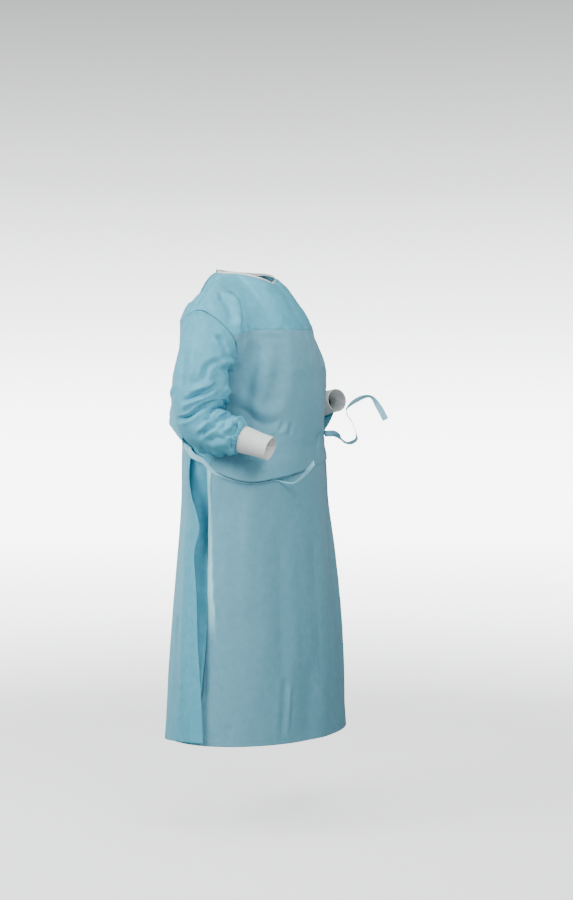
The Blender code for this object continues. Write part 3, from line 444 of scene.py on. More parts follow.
# Creases of the right sleeve: half width and distance out in millimetres, lean, and the path's
# points as share and turn
RIGHT_SLEEVE_CREASES = (
    # Wedge and tip below the armhole seam
    (7, -5, 0, (0.07, 40), (0.07, 56), (0.09, 78)),
    (6, 4, 0, (0.06, 58), (0.08, 76), (0.09, 108)),
    (9, 5.5, 0.2, (0.15, 62), (0.14, 80), (0.04, 132)),
    (7, -4.5, 0, (0.17, 70), (0.18, 88), (0.19, 100)),
    # Dent of the upper arm, shaped like an upturned U
    (7, -5, 0, (0.26, 36), (0.2, 36), (0.17, 50), (0.16, 64), (0.19, 74)),
    # Dark and light folds across the elbow
    (6, -7, 0.2, (0.37, -6), (0.335, 18), (0.29, 44), (0.25, 66)),
    (9, 4.5, 0, (0.31, 6), (0.29, 24), (0.26, 44)),
    (5.5, -8, 0.3, (0.43, -34), (0.46, 0), (0.45, 30), (0.41, 72)),
    (10, 5.5, 0, (0.4, -12), (0.39, 20), (0.35, 46)),
    (13, 5, 0, (0.26, 86), (0.28, 114)),
    (7, 5.5, 0, (0.58, 30), (0.6, 58), (0.63, 88)),
    (7, -6, 0, (0.62, 28), (0.67, 54), (0.68, 104)),
    (6, -5.5, 0, (0.58, -20), (0.61, 6), (0.67, 36)),
    (7, 4.5, 0, (0.56, -8), (0.59, 16), (0.62, 40)),
    # Loops next to the cuff
    (6, 4.5, 0, (0.73, 12), (0.78, 30), (0.78, 60)),
    (6, -5, 0, (0.78, 6), (0.83, 28), (0.84, 62)),
    (9, -5, 0, (0.64, -26), (0.7, -8), (0.79, -6)),
    # Soft marks behind
    (4, 2.8, 0, (0.27, -40), (0.33, -44)),
    (14, -3, 0, (0.13, -22), (0.21, -16), (0.31, -12)),
    (14, 3, 0, (0.12, 4), (0.2, 12), (0.26, 8)),
    # Inner and under sides
    (7, -5, 0, (0.38, 96), (0.42, 140), (0.4, 190)),
    (8, 4.5, 0, (0.35, 110), (0.37, 150), (0.36, 200)),
    (7, -4.5, 0, (0.52, 100), (0.55, 150), (0.54, 205)),
    (7, 4.5, 0, (0.7, 110), (0.73, 150), (0.72, 220)),
    (6, -4.5, 0, (0.76, 90), (0.78, 140), (0.8, 190)),
    (7, -4.5, 0, (0.6, 230), (0.63, 270), (0.6, 320)),
    (7, 4, 0, (0.66, 220), (0.7, 260), (0.68, 310)),
    (10, -4, 0, (0.2, 200), (0.26, 240), (0.36, 270)),
    (10, 4, 0, (0.14, 230), (0.22, 262), (0.34, 292)),
)
# Creases of the left sleeve, which the photo hides
LEFT_SLEEVE_CREASES = (
    (8, -5, 0, (0.08, 36), (0.08, 58), (0.11, 84)),
    (9, 5, 0.2, (0.13, 54), (0.13, 80), (0.06, 126)),
    (8, -5, 0, (0.26, 24), (0.22, 44), (0.2, 66), (0.23, 84)),
    (7, -6, 0.2, (0.36, 4), (0.34, 26), (0.3, 48)),
    (9, 4.5, 0, (0.32, -4), (0.3, 20), (0.27, 40)),
    (7, -7, 0.3, (0.46, -20), (0.48, 14), (0.46, 46)),
    (10, 5.5, 0, (0.42, -14), (0.42, 16), (0.39, 44)),
    (7, 5, 0, (0.6, 20), (0.62, 54), (0.66, 84)),
    (7, -5.5, 0, (0.64, 16), (0.68, 48), (0.7, 96)),
    (7, -5, 0, (0.56, -34), (0.6, -4), (0.64, 24)),
    (6, 4.5, 0, (0.74, -10), (0.79, 20), (0.8, 54)),
    (6, -5, 0, (0.79, -6), (0.84, 24), (0.85, 58)),
    (14, -3, 0, (0.14, -30), (0.22, -22), (0.32, -18)),
    (14, 3, 0, (0.12, -4), (0.2, 8), (0.26, 4)),
    (7, -4, 0, (0.4, 120), (0.44, 160), (0.42, 200)),
    (7, 4, 0, (0.7, 120), (0.74, 160), (0.73, 215)),
    (7, -4.5, 0, (0.56, 225), (0.6, 262), (0.58, 315)),
    (7, 4, 0, (0.64, 215), (0.68, 255), (0.66, 305)),
    (10, -4, 0, (0.18, 205), (0.25, 238), (0.34, 268)),
)

# Shape of a crease: depth against its row, sharpness of its crest, how far its ends fade and
# where from, how uneven its depth is, and how many half widths it reaches
CREASE_DEPTH = 1.35
CREASE_EDGE = 1.45
CREASE_FADE = 0.30
CREASE_END = 0.15
CREASE_UNEVEN = 0.18
CREASE_REACH = 3.8
# Shallow hollow beside a crease: place, width and depth against its half width and height
CREASE_SIDE = 2.0
CREASE_SIDE_WIDTH = 0.9
CREASE_SIDE_DEPTH = 0.28
# Width and depth of the sleeves' creases against their rows
SLEEVE_CREASE_WIDTH = 0.9
SLEEVE_CREASE_DEPTH = 1.15
# Small gathers of a sleeve where it meets the cuff: how many, depth, where they start, shares
# over which they start and end, and how far and how often they sway
FINE_GATHERS = 23
FINE_GATHER_DEPTH = 0.0011
FINE_GATHER_START = 0.84
FINE_GATHER_RAMP = 0.08
FINE_GATHER_END = 0.02
FINE_GATHER_SWAY = 0.9
FINE_GATHER_SWAYS = 5.0
# Puckers at a seam: depth, reach from the seam, and size
PUCKER_DEPTH = 0.0016
PUCKER_REACH = 0.016
PUCKER_SIZE = 0.013
# Dip of the cloth along a seam, its reach, and how the chest seam's dies away at the sides
SEAM_DIP = 0.0004
SEAM_DIP_REACH = 0.0025
CHEST_SEAM_FADE = 0.02
# Stations below the shoulder seams and the neckline over which the creases of a panel start
TOP_CALM = 0.12
# Smoothing at the armpit level: stations over which it fades, how often it is done, and the
# angle from a side seam at which it starts, and over which it does
EASE_SPAN = 0.12
EASE_TIMES = 24
EASE_CLEAR = 3.0
EASE_RAMP = 6.0
# Faint crumple of the cloth: depth and size
CRUMPLE_DEPTH = 0.0012
CRUMPLE_SIZE = 0.060
# How each finer layer of its noise is weaker and smaller than the last
NOISE_FALL = 0.9
NOISE_STEP = 2.1
# Longer crumple of the skirt: stretch in height, drop where it starts, and over which it does
SKIRT_STRETCH = 0.35
SKIRT_TOP = 0.46
SKIRT_FADE = 0.10
# Stitches: pitch, length, thread radius, sides, and profile as place, rise and thickness
STITCH_PITCH = 0.0045
STITCH_LENGTH = 0.0030
THREAD = 0.00025
STITCH_SIDES = 5
STITCH_PROFILE = ((-0.5, -0.8, 0.4), (-0.3, 0.4, 0.9), (0.0, 0.7, 1.0), (0.3, 0.4, 0.9), (0.5, -0.8, 0.4))
# Rows and columns of the cloth that the stitches follow
TOP_STITCH_ROW = 1
FRONT_STITCH_COLUMNS = (1, -2)
UNDER_STITCH_COLUMNS = (1, -3)
FLAP_STITCH_COLUMNS = (1, -5)
CHEST_STITCH_ROW = -4
HEM_STITCH_ROW = -7
SLEEVE_STITCH_ROW = 2
CUFF_STITCH_ROW = -6
# Ribs of a knit cuff
CUFF_RIBS = 40
RIB_DEPTH = 0.00045

# View and studio, sizes as they lie in a frame 573 by 900
FRAME_HEIGHT = 900.0
FOCUS = 2123.0
SENSOR = 36.0
CAMERA_AT = (-4.763, -2.750, -0.200)
TOWARD_CAMERA = (-0.866, -0.5, 0.0)
TO_RIGHT = (0.5, -0.866, 0.0)
AIM_RIGHT = 40.5
AIM_DOWN = 98.8
FLOOR_Z = -1.415
# Soft square lights: name, distance to the camera, right and up, size, energy
LIGHTS = (
    ("key", 1.25, -2.25, 1.1, (1.6, 1.6), 106),
    ("rim_left", -2.4, -2.4, -0.5, (0.8, 1.6), 52),
    ("rim_right", -2.6, 2.4, 0.4, (0.8, 2.6), 12),
    ("chest", 1.5, 0.7, 0.7, (0.7, 0.7), 25),
    ("low", 2.6, 0.3, -1.5, (1.2, 0.6), 24),
    ("top", 0.5, -0.4, 2.6, (1.6, 1.6), 48),
)
# Middle of the gown, which the lights face
LIT_PLACE = (0.0, 0.0, -0.55)
WORLD_TONE = (0.94, 0.97, 1.0, 1.0)
WORLD_GLOW = 0.25

# The two close tones of each cloth
CLOTH_TONES = ((0.090, 0.385, 0.520, 1.0), (0.115, 0.440, 0.580, 1.0))
REINFORCED_TONES = ((0.132, 0.355, 0.460, 1.0), (0.154, 0.395, 0.505, 1.0))
# Tape tones: paler than the cloth, partly the ties' own tone and partly painted light that makes them
# look lit
TAPE_TONES = ((0.290, 0.640, 0.770, 1.0), (0.340, 0.700, 0.830, 1.0))
THREAD_TONES = ((0.190, 0.500, 0.640, 1.0), (0.230, 0.550, 0.700, 1.0))
KNIT_TONES = ((0.700, 0.715, 0.700, 1.0), (0.770, 0.780, 0.765, 1.0))
# Colour of the painted highlight beside the flap
PAINTED_HIGHLIGHT_TONE = (0.38, 0.84, 0.92, 1.0)
# Tint of the shine of the cloth
COOL_TINT = (0.45, 0.86, 1.0, 1.0)
# Kinds of texture, places of the two tones on the noise, and the colour sockets of a mix node
NOISE = "ShaderNodeTexNoise"
CELLS = "ShaderNodeTexVoronoi"
CLOUD_STOPS = (0.32, 0.68)
MIX_COLOUR_INPUTS = (0, 6, 7)
MIX_COLOUR_OUTPUT = 2

# Floor: colour, sides, rings of its curve, radius of its flat middle, width and height of its
# curve, height of the backdrop, and how it glows: full strength, and rows of height and share
FLOOR_TONE = (0.50, 0.50, 0.51, 1.0)
FLOOR_SIDES = 96
FLOOR_RINGS = 25
FLOOR_FLAT = 1.6
FLOOR_CURVE = (6.4, 3.6)
BACKDROP_TOP = 6.0
BACKDROP_GLOW = 7.4
BACKDROP_GLOW_AT = (
    (0, 0.2),
    (0.03, 0.32),
    (0.12, 0.54),
    (0.34, 0.92),
    (0.5, 1),
    (0.95, 0.86),
    (1.35, 0.57),
    (1.8, 0.39),
    (2.2, 0.26),
    (2.67, 0.17),
    (3.1, 0.115),
    (3.5, 0.076),
)


def smoothstep(value):
    """A soft ramp from 0 to 1."""
    value = np.clip(value, 0.0, 1.0)
    return value * value * (3.0 - 2.0 * value)


def unit(vectors):
    """Vectors brought to a length of one."""
    return vectors / np.linalg.norm(vectors, axis=-1, keepdims=True)


def on_side(side, vector):
    """A vector of the left side, or its mirror image where the side is -1."""
    return np.array([side * vector[0], vector[1], vector[2]])


def run_lengths(points):
    """Distance of each point of a run from its start."""
    return np.concatenate([[0.0], np.cumsum(np.linalg.norm(np.diff(points, axis=0), axis=-1))])


def through(x, table, column):
    """A smooth curve through one column of a short table, held level past its ends."""
    knots = np.array([row[0] for row in table])
    values = np.array([row[column] for row in table])
    slopes = np.gradient(values, knots)
    x = np.clip(x, knots[0], knots[-1])
    i = np.clip(np.searchsorted(knots, x) - 1, 0, len(knots) - 2)
    step = knots[i + 1] - knots[i]
    t = (x - knots[i]) / step
    start = values[i] * (1.0 + 2.0 * t) * (1.0 - t) ** 2 + slopes[i] * step * t * (1.0 - t) ** 2
    end = values[i + 1] * t * t * (3.0 - 2.0 * t) - slopes[i + 1] * step * t * t * (1.0 - t)
    return start + end


def spaced(*stops):
    """Values from stop to stop, given as value, count, value, count, and so on."""
    values = [stops[0]]
    for count, stop in zip(stops[1::2], stops[2::2]):
        values.extend(np.linspace(values[-1], stop, count + 1)[1:])
    return np.array(values)


def section_radius(phi, drop):
    """Distance from the axis to the cloth of the body, before blousing and folds."""
    across = np.cos(np.radians(phi))
    along = np.sin(np.radians(phi))
    half_width = through(drop, SECTIONS, 1)
    depth = np.where(along > 0, through(drop, SECTIONS, 2), through(drop, SECTIONS, 3))
    square = through(drop, SECTIONS, 4)
    total = np.abs(across / half_width) ** square + np.abs(along / depth) ** square
    return total ** (-1.0 / square)


def from_axis(phi, radius, z):
    """Points at an angle and a distance from the body axis."""
    turn = np.radians(phi)
    return np.stack([-radius * np.cos(turn), AXIS_Y - radius * np.sin(turn), z], axis=-1)


def outward(phi):
    """Level directions out of the body at an angle."""
    turn = np.radians(phi)
    return np.stack([-np.cos(turn), -np.sin(turn), 0.0 * turn], axis=-1)


def segment_distance(points, start, end):
    """Distance from each point to a segment, and how far along it the nearest place is."""
    start = np.asarray(start, float)
    along = np.asarray(end, float) - start
    share = np.clip(((points - start) @ along) / (along @ along), 0.0, 1.0)
    nearest = start + share[..., None] * along
    return np.linalg.norm(points - nearest, axis=-1), share


def fold_profile(distance, share, half_width):
    """One soft fold: full along its middle, dying away at its ends and sides."""
    ends = smoothstep(FOLD_FADE * share + FOLD_END) * smoothstep(FOLD_FADE * (1.0 - share) + FOLD_END)
    return np.exp(-(distance / half_width) ** 2) * ends


def soft_folds(points, folds):
    """Distance that rows of both ends, half width and distance out move points out."""
    total = np.zeros(points.shape[:-1])
    for start, end, half_width, out in folds:
        distance, share = segment_distance(points, start, end)
        total += out * fold_profile(distance, share, half_width)
    return total


def round_folds(angle, along, folds, radius):
    """The same for folds whose ends are angles round a tube and places along it."""
    scale = math.radians(1.0) * radius
    rows = [((first * scale, first_along), (last * scale, last_along), half_width, out)
            for first, first_along, last, last_along, half_width, out in folds]
    laps = [np.stack([(angle + lap) * scale, along], axis=-1) for lap in (-360.0, 0.0, 360.0)]
    return sum(soft_folds(flat, rows) for flat in laps)


def top_edge(phi):
    """Points along the shoulder ridge and round the neckline, one for each angle."""
    side = np.where(np.abs(phi) < 90.0, -1.0, 1.0)
    turn = np.where(np.abs(phi) < 90.0, np.abs(phi), 180.0 - np.abs(phi))
    front = phi > 0
    share = np.clip(turn / RIDGE_SPAN, 0.0, 1.0)
    quarter = np.radians(90.0) * np.clip((turn - RIDGE_SPAN) / (90.0 - RIDGE_SPAN), 0.0, 1.0)
    x = np.where(share < 1.0, through(share, RIDGE, 1), NECK_HALF_WIDTH * np.cos(quarter))
    reach = np.where(front, NECK_FRONT, -NECK_BACK - AXIS_Y)
    centre = np.where(front, AXIS_Y, 0.0)
    neck_y = np.where(front, (centre - reach) * np.sin(quarter), -reach * np.sin(quarter))
    y = np.where(share < 1.0, through(share, RIDGE, 2), neck_y)
    centre_z = np.where(front, NECK_FRONT_Z, NECK_BACK_Z)
    neck_z = NECK_SIDE_Z + (centre_z - NECK_SIDE_Z) * (1.0 - np.cos(quarter)) ** NECK_CURVE
    z = np.where(share < 1.0, through(share, RIDGE, 3), neck_z)
    seam = np.where(front, -RIDGE_GAP / 2, RIDGE_GAP / 2)
    return np.stack([side * x, y + seam, z], axis=-1)


def ring_frame(side, axis):
    """Outer and front directions square to the axis of a sleeve ring."""
    side_way = np.array([side, 0.0, 0.0])
    outer = unit(side_way - (side_way @ axis) * axis)
    return outer, -side * np.cross(outer, axis)


def armhole(side, turn):
    """Points round an armhole: turn 0 is its outer top, 90 its front, 180 the armpit."""
    offset = ring_offset(side, unit(on_side(side, ARMHOLE_OUT)), LEFT_SLEEVE[0][3:], turn, 1.0)
    return on_side(side, ARMHOLE_CENTRE) + offset


def ring_offset(side, axis, radii, turn, pinch=0.0):
    """Offsets round one sleeve ring with its own outer, inner, front and back radius.

    The pinch, 1 at the armhole, points the armpit and flattens the front of the shoulder.
    """
    point = 1.0 + (ARMHOLE_POINT - 1.0) * pinch
    outer, front = ring_frame(side, axis)
    across = np.cos(np.radians(turn))
    along = np.sin(np.radians(turn))
    along = np.where(across < 0, np.sign(along) * np.abs(along) ** point, along)
    flat = (across > 0) & (along > 0)
    across = np.where(flat, np.abs(across) ** point, across)
    along = np.where(flat, np.abs(along) ** point, along)
    outer_radius = np.where(across > 0, radii[0], radii[1])
    front_radius = np.where(along > 0, radii[2], radii[3])
    forward = ARMPIT_FORWARD * pinch * np.where(across < 0, across ** 2, 0.0)
    forward = forward + front_radius * along
    return (outer_radius * across)[..., None] * outer + forward[..., None] * front


def dome(phi, rise):
    """Points up one column of the shoulders, from the armpit level to the top edge."""
    bottom = from_axis(phi, section_radius(phi, ARMPIT_DROP), -ARMPIT_DROP * np.ones(np.shape(phi)))
    top = top_edge(phi)
    square = np.where(phi > 0, DOME_FRONT, DOME_BACK)
    angle = np.radians(90.0) * rise
    inward = 1.0 - np.cos(angle) ** (2.0 / square)
    upward = np.sin(angle) ** (2.0 / square)
    plan = bottom + (top - bottom) * inward[..., None]
    height = bottom[..., 2] + (top[..., 2] - bottom[..., 2]) * upward
    return np.stack([plan[..., 0], plan[..., 1], height], axis=-1)


def chest_rise(phi):
    """Share of the way up a column at which it crosses the chest line."""
    top = top_edge(phi)[..., 2]
    share = (ARMPIT_DROP - CHEST_LINE) / (top + ARMPIT_DROP)
    return np.arcsin(share ** (DOME_FRONT / 2.0)) / np.radians(90.0)


def yoke(phi, station):
    """Points of the shoulders and chest, between the neck and the armpit level."""
    line = np.where(phi > 0, chest_rise(phi), 0.5)
    above = 1.0 - (1.0 - line) * station
    below = line * (ARMPIT - station)
    rise = np.clip(np.where(station < CHEST, above, below), 0.0, 1.0)
    points = dome(phi, rise)
    right = np.abs(phi) < 90.0
    turn = np.where(right, np.abs(phi), 180.0 - np.abs(phi))
    fade = 1.0 - smoothstep(turn / ARMHOLE_FADE)
    sign = np.where(phi > 0, 1.0, -1.0)
    seam_phi = np.where(right, sign * 1e-6, sign * (180.0 - 1e-6))
    half_gap = math.degrees(RIDGE_GAP / 2 / ARMHOLE_RADIUS)
    ring_turn = sign * (half_gap + (180.0 - half_gap) * (1.0 - rise)) - SEAM_TOP_TURN * rise
    ring = np.where(right[..., None], armhole(-1.0, ring_turn), armhole(1.0, ring_turn))
    points = points + (ring - dome(seam_phi, rise)) * fade[..., None]
    drag = smoothstep(turn / FOLD_CLEAR) * smoothstep(station - CHEST)
    drag = drag * round_folds(phi, -points[..., 2], TRUNK_FOLDS, FOLD_RADIUS)
    points = points + outward(phi) * drag[..., None]
    away = unit(points - np.array(CHEST_MIDDLE))
    keep = smoothstep(turn / YOKE_CLEAR) * smoothstep(station * YOKE_START)
    keep = keep * smoothstep((ARMPIT - station) * YOKE_END)
    return points + away * (soft_folds(points, YOKE_FOLDS) * keep)[..., None]


def side_of(rows):
    """Side of a sleeve: -1 for the right one, 1 for the left one."""
    return math.copysign(1.0, rows[0][0])


def sleeve_axis(rows, share):
    """Centre, direction and radii at a share of the way down a sleeve."""
    table = [(i / (len(rows) - 1.0),) + tuple(row) for i, row in enumerate(rows)]
    behind, centre, ahead = (
        np.array([through(share + step, table, k) for k in (1, 2, 3)]) for step in (-0.01, 0.0, 0.01))
    start = unit(on_side(side_of(rows), ARMHOLE_OUT))
    blend = smoothstep(share / ARMHOLE_TILT_BLEND)
    axis = start * (1.0 - blend) + unit(ahead - behind) * blend
    end = unit(np.array(rows[-1][:3]) - np.array(rows[-2][:3]))
    blend = smoothstep((share - CUFF_TURN_START) / CUFF_TURN_SPAN)
    axis = unit(axis * (1.0 - blend) + end * blend)
    radii = [through(share / CUFF_SEAM, table, k) for k in (4, 5, 6, 7)]
    return centre, axis, radii


def push_from_sleeves(points, lift):
    """Move body cloth inward wherever a sleeve would touch it."""
    for rows in (RIGHT_SLEEVE, LEFT_SLEEVE):
        nearest = np.full(points.shape[:-1], 1.0)
        for share in DENT_SHARES:
            centre, _, radii = sleeve_axis(rows, share)
            gap = np.linalg.norm(points - centre, axis=-1) - max(radii[1], radii[3] * DENT_BACK)
            nearest = np.minimum(nearest, gap)
        short = SLEEVE_CLEAR + lift - nearest
        soft = DENT_SOFTNESS
        push = np.where(short > soft, short, np.clip(short + soft, 0.0, None) ** 2 / (4.0 * soft))
        push = push * smoothstep((-points[..., 2] - ARMPIT_DROP) / DENT_START)
        inward = np.array([0.0, AXIS_Y, 0.0]) - points
        inward[..., 2] = 0.0
        points = points + unit(inward) * push[..., None]
    return points


def trunk(phi, station, lift):
    """Points of the body below the armpits, with the bloused waist."""
    edge, depth, fall = (through(phi, WAIST, column) for column in (1, 2, 3))
    down = np.clip(station - ARMPIT, 0.0, 1.0)
    under = np.clip(station - BLOUSE, 0.0, 1.0)
    skirt = np.clip(station - TUCK, 0.0, 1.0)
    drop = ARMPIT_DROP + (edge - ARMPIT_DROP) * down + fall * under
    drop = drop - UNDERFOLD * np.sin(math.pi * under) * smoothstep(1.0 - fall / UNDERFOLD_FALL)
    drop = drop + (HEM_DROP - edge - fall) * skirt
    full = smoothstep(1.0 - (edge - drop) / BLOUSE_RISE) * (down > 0)
    full = np.where(under > 0, 0.5 + 0.5 * np.cos(math.pi * under), full)
    radius = section_radius(phi, drop) + depth * full + round_folds(phi, drop, TRUNK_FOLDS, FOLD_RADIUS)
    radius = radius + np.where(lift > 0, 0.0, round_folds(phi, drop, VALLEY_FOLDS, FOLD_RADIUS))
    return push_from_sleeves(from_axis(phi, radius, -drop), lift)


def body(phi, station, lift=0.0):
    """Points of the body cloth, moved out by the lift of its layer."""
    phi, station, lift = np.broadcast_arrays(phi, station, lift)
    phi = phi.astype(float)
    upper = yoke(phi, np.minimum(station, ARMPIT))
    lower = trunk(phi, np.maximum(station, ARMPIT), lift)
    points = np.where((station < ARMPIT)[..., None], upper, lower)
    out = outward(phi)
    below = -smoothstep((station - ARMPIT) / LIFT_TURN)
    out[..., 2] = np.where(station < ARMPIT, 1.0 - station / ARMPIT, below)
    return points + out * lift[..., None]


def station_drop(station):
    """Rough drop of a station, for the slant of the back edges."""
    return np.interp(station, (NECK, ARMPIT, BLOUSE, TUCK, HEM), (0.0, ARMPIT_DROP, 0.43, 0.45, HEM_DROP))


def flap_lift(angle, station, edge, under_edge):
    """Distance of the outer back layer from the body surface."""
    over = smoothstep((angle - under_edge + LAYER_AHEAD) / LAYER_RAMP)
    layer = LAYER_LIFT_TOP + (LAYER_LIFT - LAYER_LIFT_TOP) * smoothstep(station / ARMPIT) ** 2
    near_edge = smoothstep(1.0 - (edge - angle) / FLAP_EDGE_SPAN)
    free = smoothstep((station - FLAP_LIFT_START) / FLAP_LIFT_RAMP)
    return layer * over + FLAP_EDGE_LIFT * near_edge * free


def sleeve_fold(share, turn):
    """Distance that the folds of a sleeve move its cloth out."""
    rows = [(first_turn, first * SLEEVE_LENGTH, last_turn, last * SLEEVE_LENGTH, half_width, out)
            for first, first_turn, last, last_turn, half_width, out in SLEEVE_FOLDS]
    return round_folds(turn, np.full(np.shape(turn), share * SLEEVE_LENGTH), rows, SLEEVE_RADIUS)


def sleeve_grid(rows, shares, turns):
    """Rings of points down one sleeve, from the armhole to the cuff."""
    side = side_of(rows)
    away = on_side(side, ARMHOLE_OUT)
    start = SLEEVE_START + ARMPIT_START * smoothstep(1.0 - np.abs(turns - 180.0) / ARMPIT_TURN)
    rings = []
    for share in shares:
        centre, axis, radii = sleeve_axis(rows, share)
        pinch = 1.0 - smoothstep(share / ARMHOLE_BLEND)
        offset = ring_offset(side, axis, radii, turns, pinch)
        length = np.linalg.norm(offset, axis=-1)
        inside = (1.0 - pinch) * smoothstep((1.0 - share) * SLEEVE_CALM)
        wave = np.cos(np.radians(turns * GATHERS)) * smoothstep((share - GATHER_START) / GATHER_RAMP)
        out = (sleeve_fold(share, turns) + GATHER_DEPTH * wave) * inside
        ring = centre + offset * (1.0 + out / length)[..., None]
        rings.append(ring + away * (start * pinch)[..., None])
    return np.array(rings)


def neck_turn(angle):
    """Direction out of the neck, in degrees round it, for a panel column."""
    quarter = 90.0 / (90.0 - RIDGE_SPAN)
    front = (angle - RIDGE_SPAN) * quarter
    back = (angle + RIDGE_SPAN) * quarter
    return np.where(angle > 0, front, back)


def smooth_path(knots, count):
    """A smooth curve through rows of numbers, evenly shared out between the knots."""
    table = [(float(i),) + tuple(row) for i, row in enumerate(knots)]
    places = np.linspace(0.0, len(knots) - 1.0, count)
    columns = [through(places, table, k + 1) for k in range(len(knots[0]))]
    return np.stack(columns, axis=-1)


def grid_normals(points, closed, reference):
    """Unit normals of a grid of points, on the side that the reference directions point to."""
    if closed:
        across = np.roll(points, -1, axis=1) - np.roll(points, 1, axis=1)
    else:
        across = np.gradient(points, axis=1)
    normal = np.cross(np.gradient(points, axis=0), across)
    normal = normal / np.maximum(np.linalg.norm(normal, axis=-1), 1e-12)[..., None]
    return normal * np.sign(np.mean(np.sum(normal * reference, axis=-1)))


def crease(points, normals, path, half_width, out, lean, index, side_depth):
    """Distance that one crease moves each point out."""
    total = np.zeros(points.shape[:-1])
    reach = CREASE_REACH * half_width
    low, high = path.min(axis=0) - reach, path.max(axis=0) + reach
    near = np.all((points > low) & (points < high), axis=-1)
    if not near.any():
        return total
    spots = points[near]
    facing = normals[near]
    starts = run_lengths(path)
    distance = np.full(len(spots), np.inf)
    share = np.zeros(len(spots))
    side = np.zeros(len(spots))
    for k, run in enumerate(np.diff(starts)):
        tangent = (path[k + 1] - path[k]) / run
        along = np.clip((spots - path[k]) @ tangent, 0.0, run)
        offset = spots - (path[k] + along[:, None] * tangent)
        gap = np.linalg.norm(offset, axis=-1)
        closer = gap < distance
        distance = np.where(closer, gap, distance)
        share = np.where(closer, (starts[k] + along) / starts[-1], share)
        side = np.where(closer, np.sum(np.cross(offset, tangent) * facing, axis=-1), side)
    width = half_width * (1.0 + lean * np.sign(side))
    crest = np.exp(-(distance / width) ** CREASE_EDGE)
    hollow = np.exp(-((distance / width - CREASE_SIDE) / CREASE_SIDE_WIDTH) ** 2)
    fade = smoothstep(share / CREASE_FADE + CREASE_END)
    fade = fade * smoothstep((1.0 - share) / CREASE_FADE + CREASE_END)
    uneven = 1.0 + CREASE_UNEVEN * np.sin(share * (5.0 + index % 4) + index * 1.7)
    total[near] = CREASE_DEPTH * out * uneven * fade * (crest - side_depth * hollow)
    return total


def creased(points, normals, rows, side_depth=CREASE_SIDE_DEPTH):
    """Points moved out by every crease of a table."""
    total = np.zeros(points.shape[:-1])
    for index, (half_width, out, lean, path) in enumerate(rows):
        total += crease(points, normals, path, half_width, out, lean, index, side_depth)
    return points + normals * total[..., None]


def smooth_run(knots):
    """A smooth path through a few knots."""
    return smooth_path(knots, 8 * len(knots))


def crease_rows(table, place):
    """Crease rows in metres, with each smooth path turned into points by a function."""
    return [metres((width, out)) + (lean, place(smooth_run(path))) for width, out, lean, *path in table]


def straight_rows(table):
    """Crease rows whose paths are points in millimetres."""
    return crease_rows(table, lambda path: path / 1000.0)


def on_body(path):
    """Points of the body along a path of angles and stations."""
    return body(path[:, 0], path[:, 1])


def sleeve_rows(table, sleeve_table):
    """Crease rows whose paths are shares and turns of a sleeve."""

    def on_sleeve(path):
        """Points of the sleeve along a path."""
        spots = [sleeve_grid(sleeve_table, [share], np.array([turn]))[0, 0] for share, turn in path]
        return np.array(spots)

    return [(SLEEVE_CREASE_WIDTH * width, SLEEVE_CREASE_DEPTH * out, lean, path)
            for width, out, lean, path in crease_rows(table, on_sleeve)]


def noise_at(points, size, stretch=1.0, octaves=3):
    """Smooth noise between about -1 and 1 at each point, stretched in height."""
    flat = points.reshape(-1, 3) / size
    flat = flat * np.array([1.0, 1.0, stretch])
    values = [noise.fractal(Vector(p), NOISE_FALL, NOISE_STEP, octaves) for p in flat]
    return np.array(values).reshape(points.shape[:-1])


def nearest_distance(points, places):
    """Distance of each point from the nearest of some places."""
    nearest = np.full(points.shape[:-1], 1.0)
    for place in places:
        nearest = np.minimum(nearest, np.linalg.norm(points - place, axis=-1))
    return nearest


def surfaced(points, normals, chest_seam=True):
    """Points with the seam puckers and the faint crumple of the cloth."""
    skirt = smoothstep((-points[..., 2] - SKIRT_TOP) / SKIRT_FADE)
    ridged = 1.0 - 2.0 * np.abs(noise_at(points, CRUMPLE_SIZE, 1.0, 2))
    crumple = ridged * (1.0 - skirt) + noise_at(points, CRUMPLE_SIZE, SKIRT_STRETCH) * skirt
    turns = np.arange(0.0, 360.0, 3.0)
    seam = nearest_distance(points, np.vstack([armhole(-1.0, turns), armhole(1.0, turns)]))
    if chest_seam:
        front = smoothstep((AXIS_Y - points[..., 1]) / CHEST_SEAM_FADE)
        seam = np.minimum(seam, np.abs(points[..., 2] + CHEST_LINE) + (1.0 - front))
    pucker = noise_at(points, PUCKER_SIZE, 1.0, 1) * np.exp(-(seam / PUCKER_REACH) ** 2)
    dip = np.exp(-(seam / SEAM_DIP_REACH) ** 2)
    out = CRUMPLE_DEPTH * crumple + PUCKER_DEPTH * pucker - SEAM_DIP * dip
    return points + normals * out[..., None]


def grid_faces(rows, columns, closed=False):
    """Faces of a grid whose points run across first and then down."""
    faces = []
    for r in range(rows - 1):
        for c in range(columns if closed else columns - 1):
            nxt = (c + 1) % columns
            top, low = r * columns, (r + 1) * columns
            faces.append((top + c, low + c, low + nxt, top + nxt))
    return faces


def painted_highlight_share(points, rows):
    """How far each point lies in the painted highlight, the pale strip of the skirt beside the flap."""
    nearest = nearest_distance(points, on_body(smooth_run(PAINTED_HIGHLIGHT_PATH)))
    inside = smoothstep((PAINTED_HIGHLIGHT_HALF_WIDTH - nearest) / PAINTED_HIGHLIGHT_SOFTNESS + 0.5)
    return inside * smoothstep((PAINTED_HIGHLIGHT_END - rows) / PAINTED_HIGHLIGHT_FADE)


def add_object(name, data):
    """A new object in the scene."""
    item = bpy.data.objects.new(name, data)
    bpy.context.scene.collection.objects.link(item)
    return item


def add_mesh(name, points, faces, material):
    """A smooth mesh in the scene."""
    mesh = bpy.data.meshes.new(name)
    mesh.from_pydata([tuple(p) for p in points.reshape(-1, 3)], [], faces)
    mesh.materials.append(material)
    mesh.shade_smooth()
    return add_object(name, mesh)


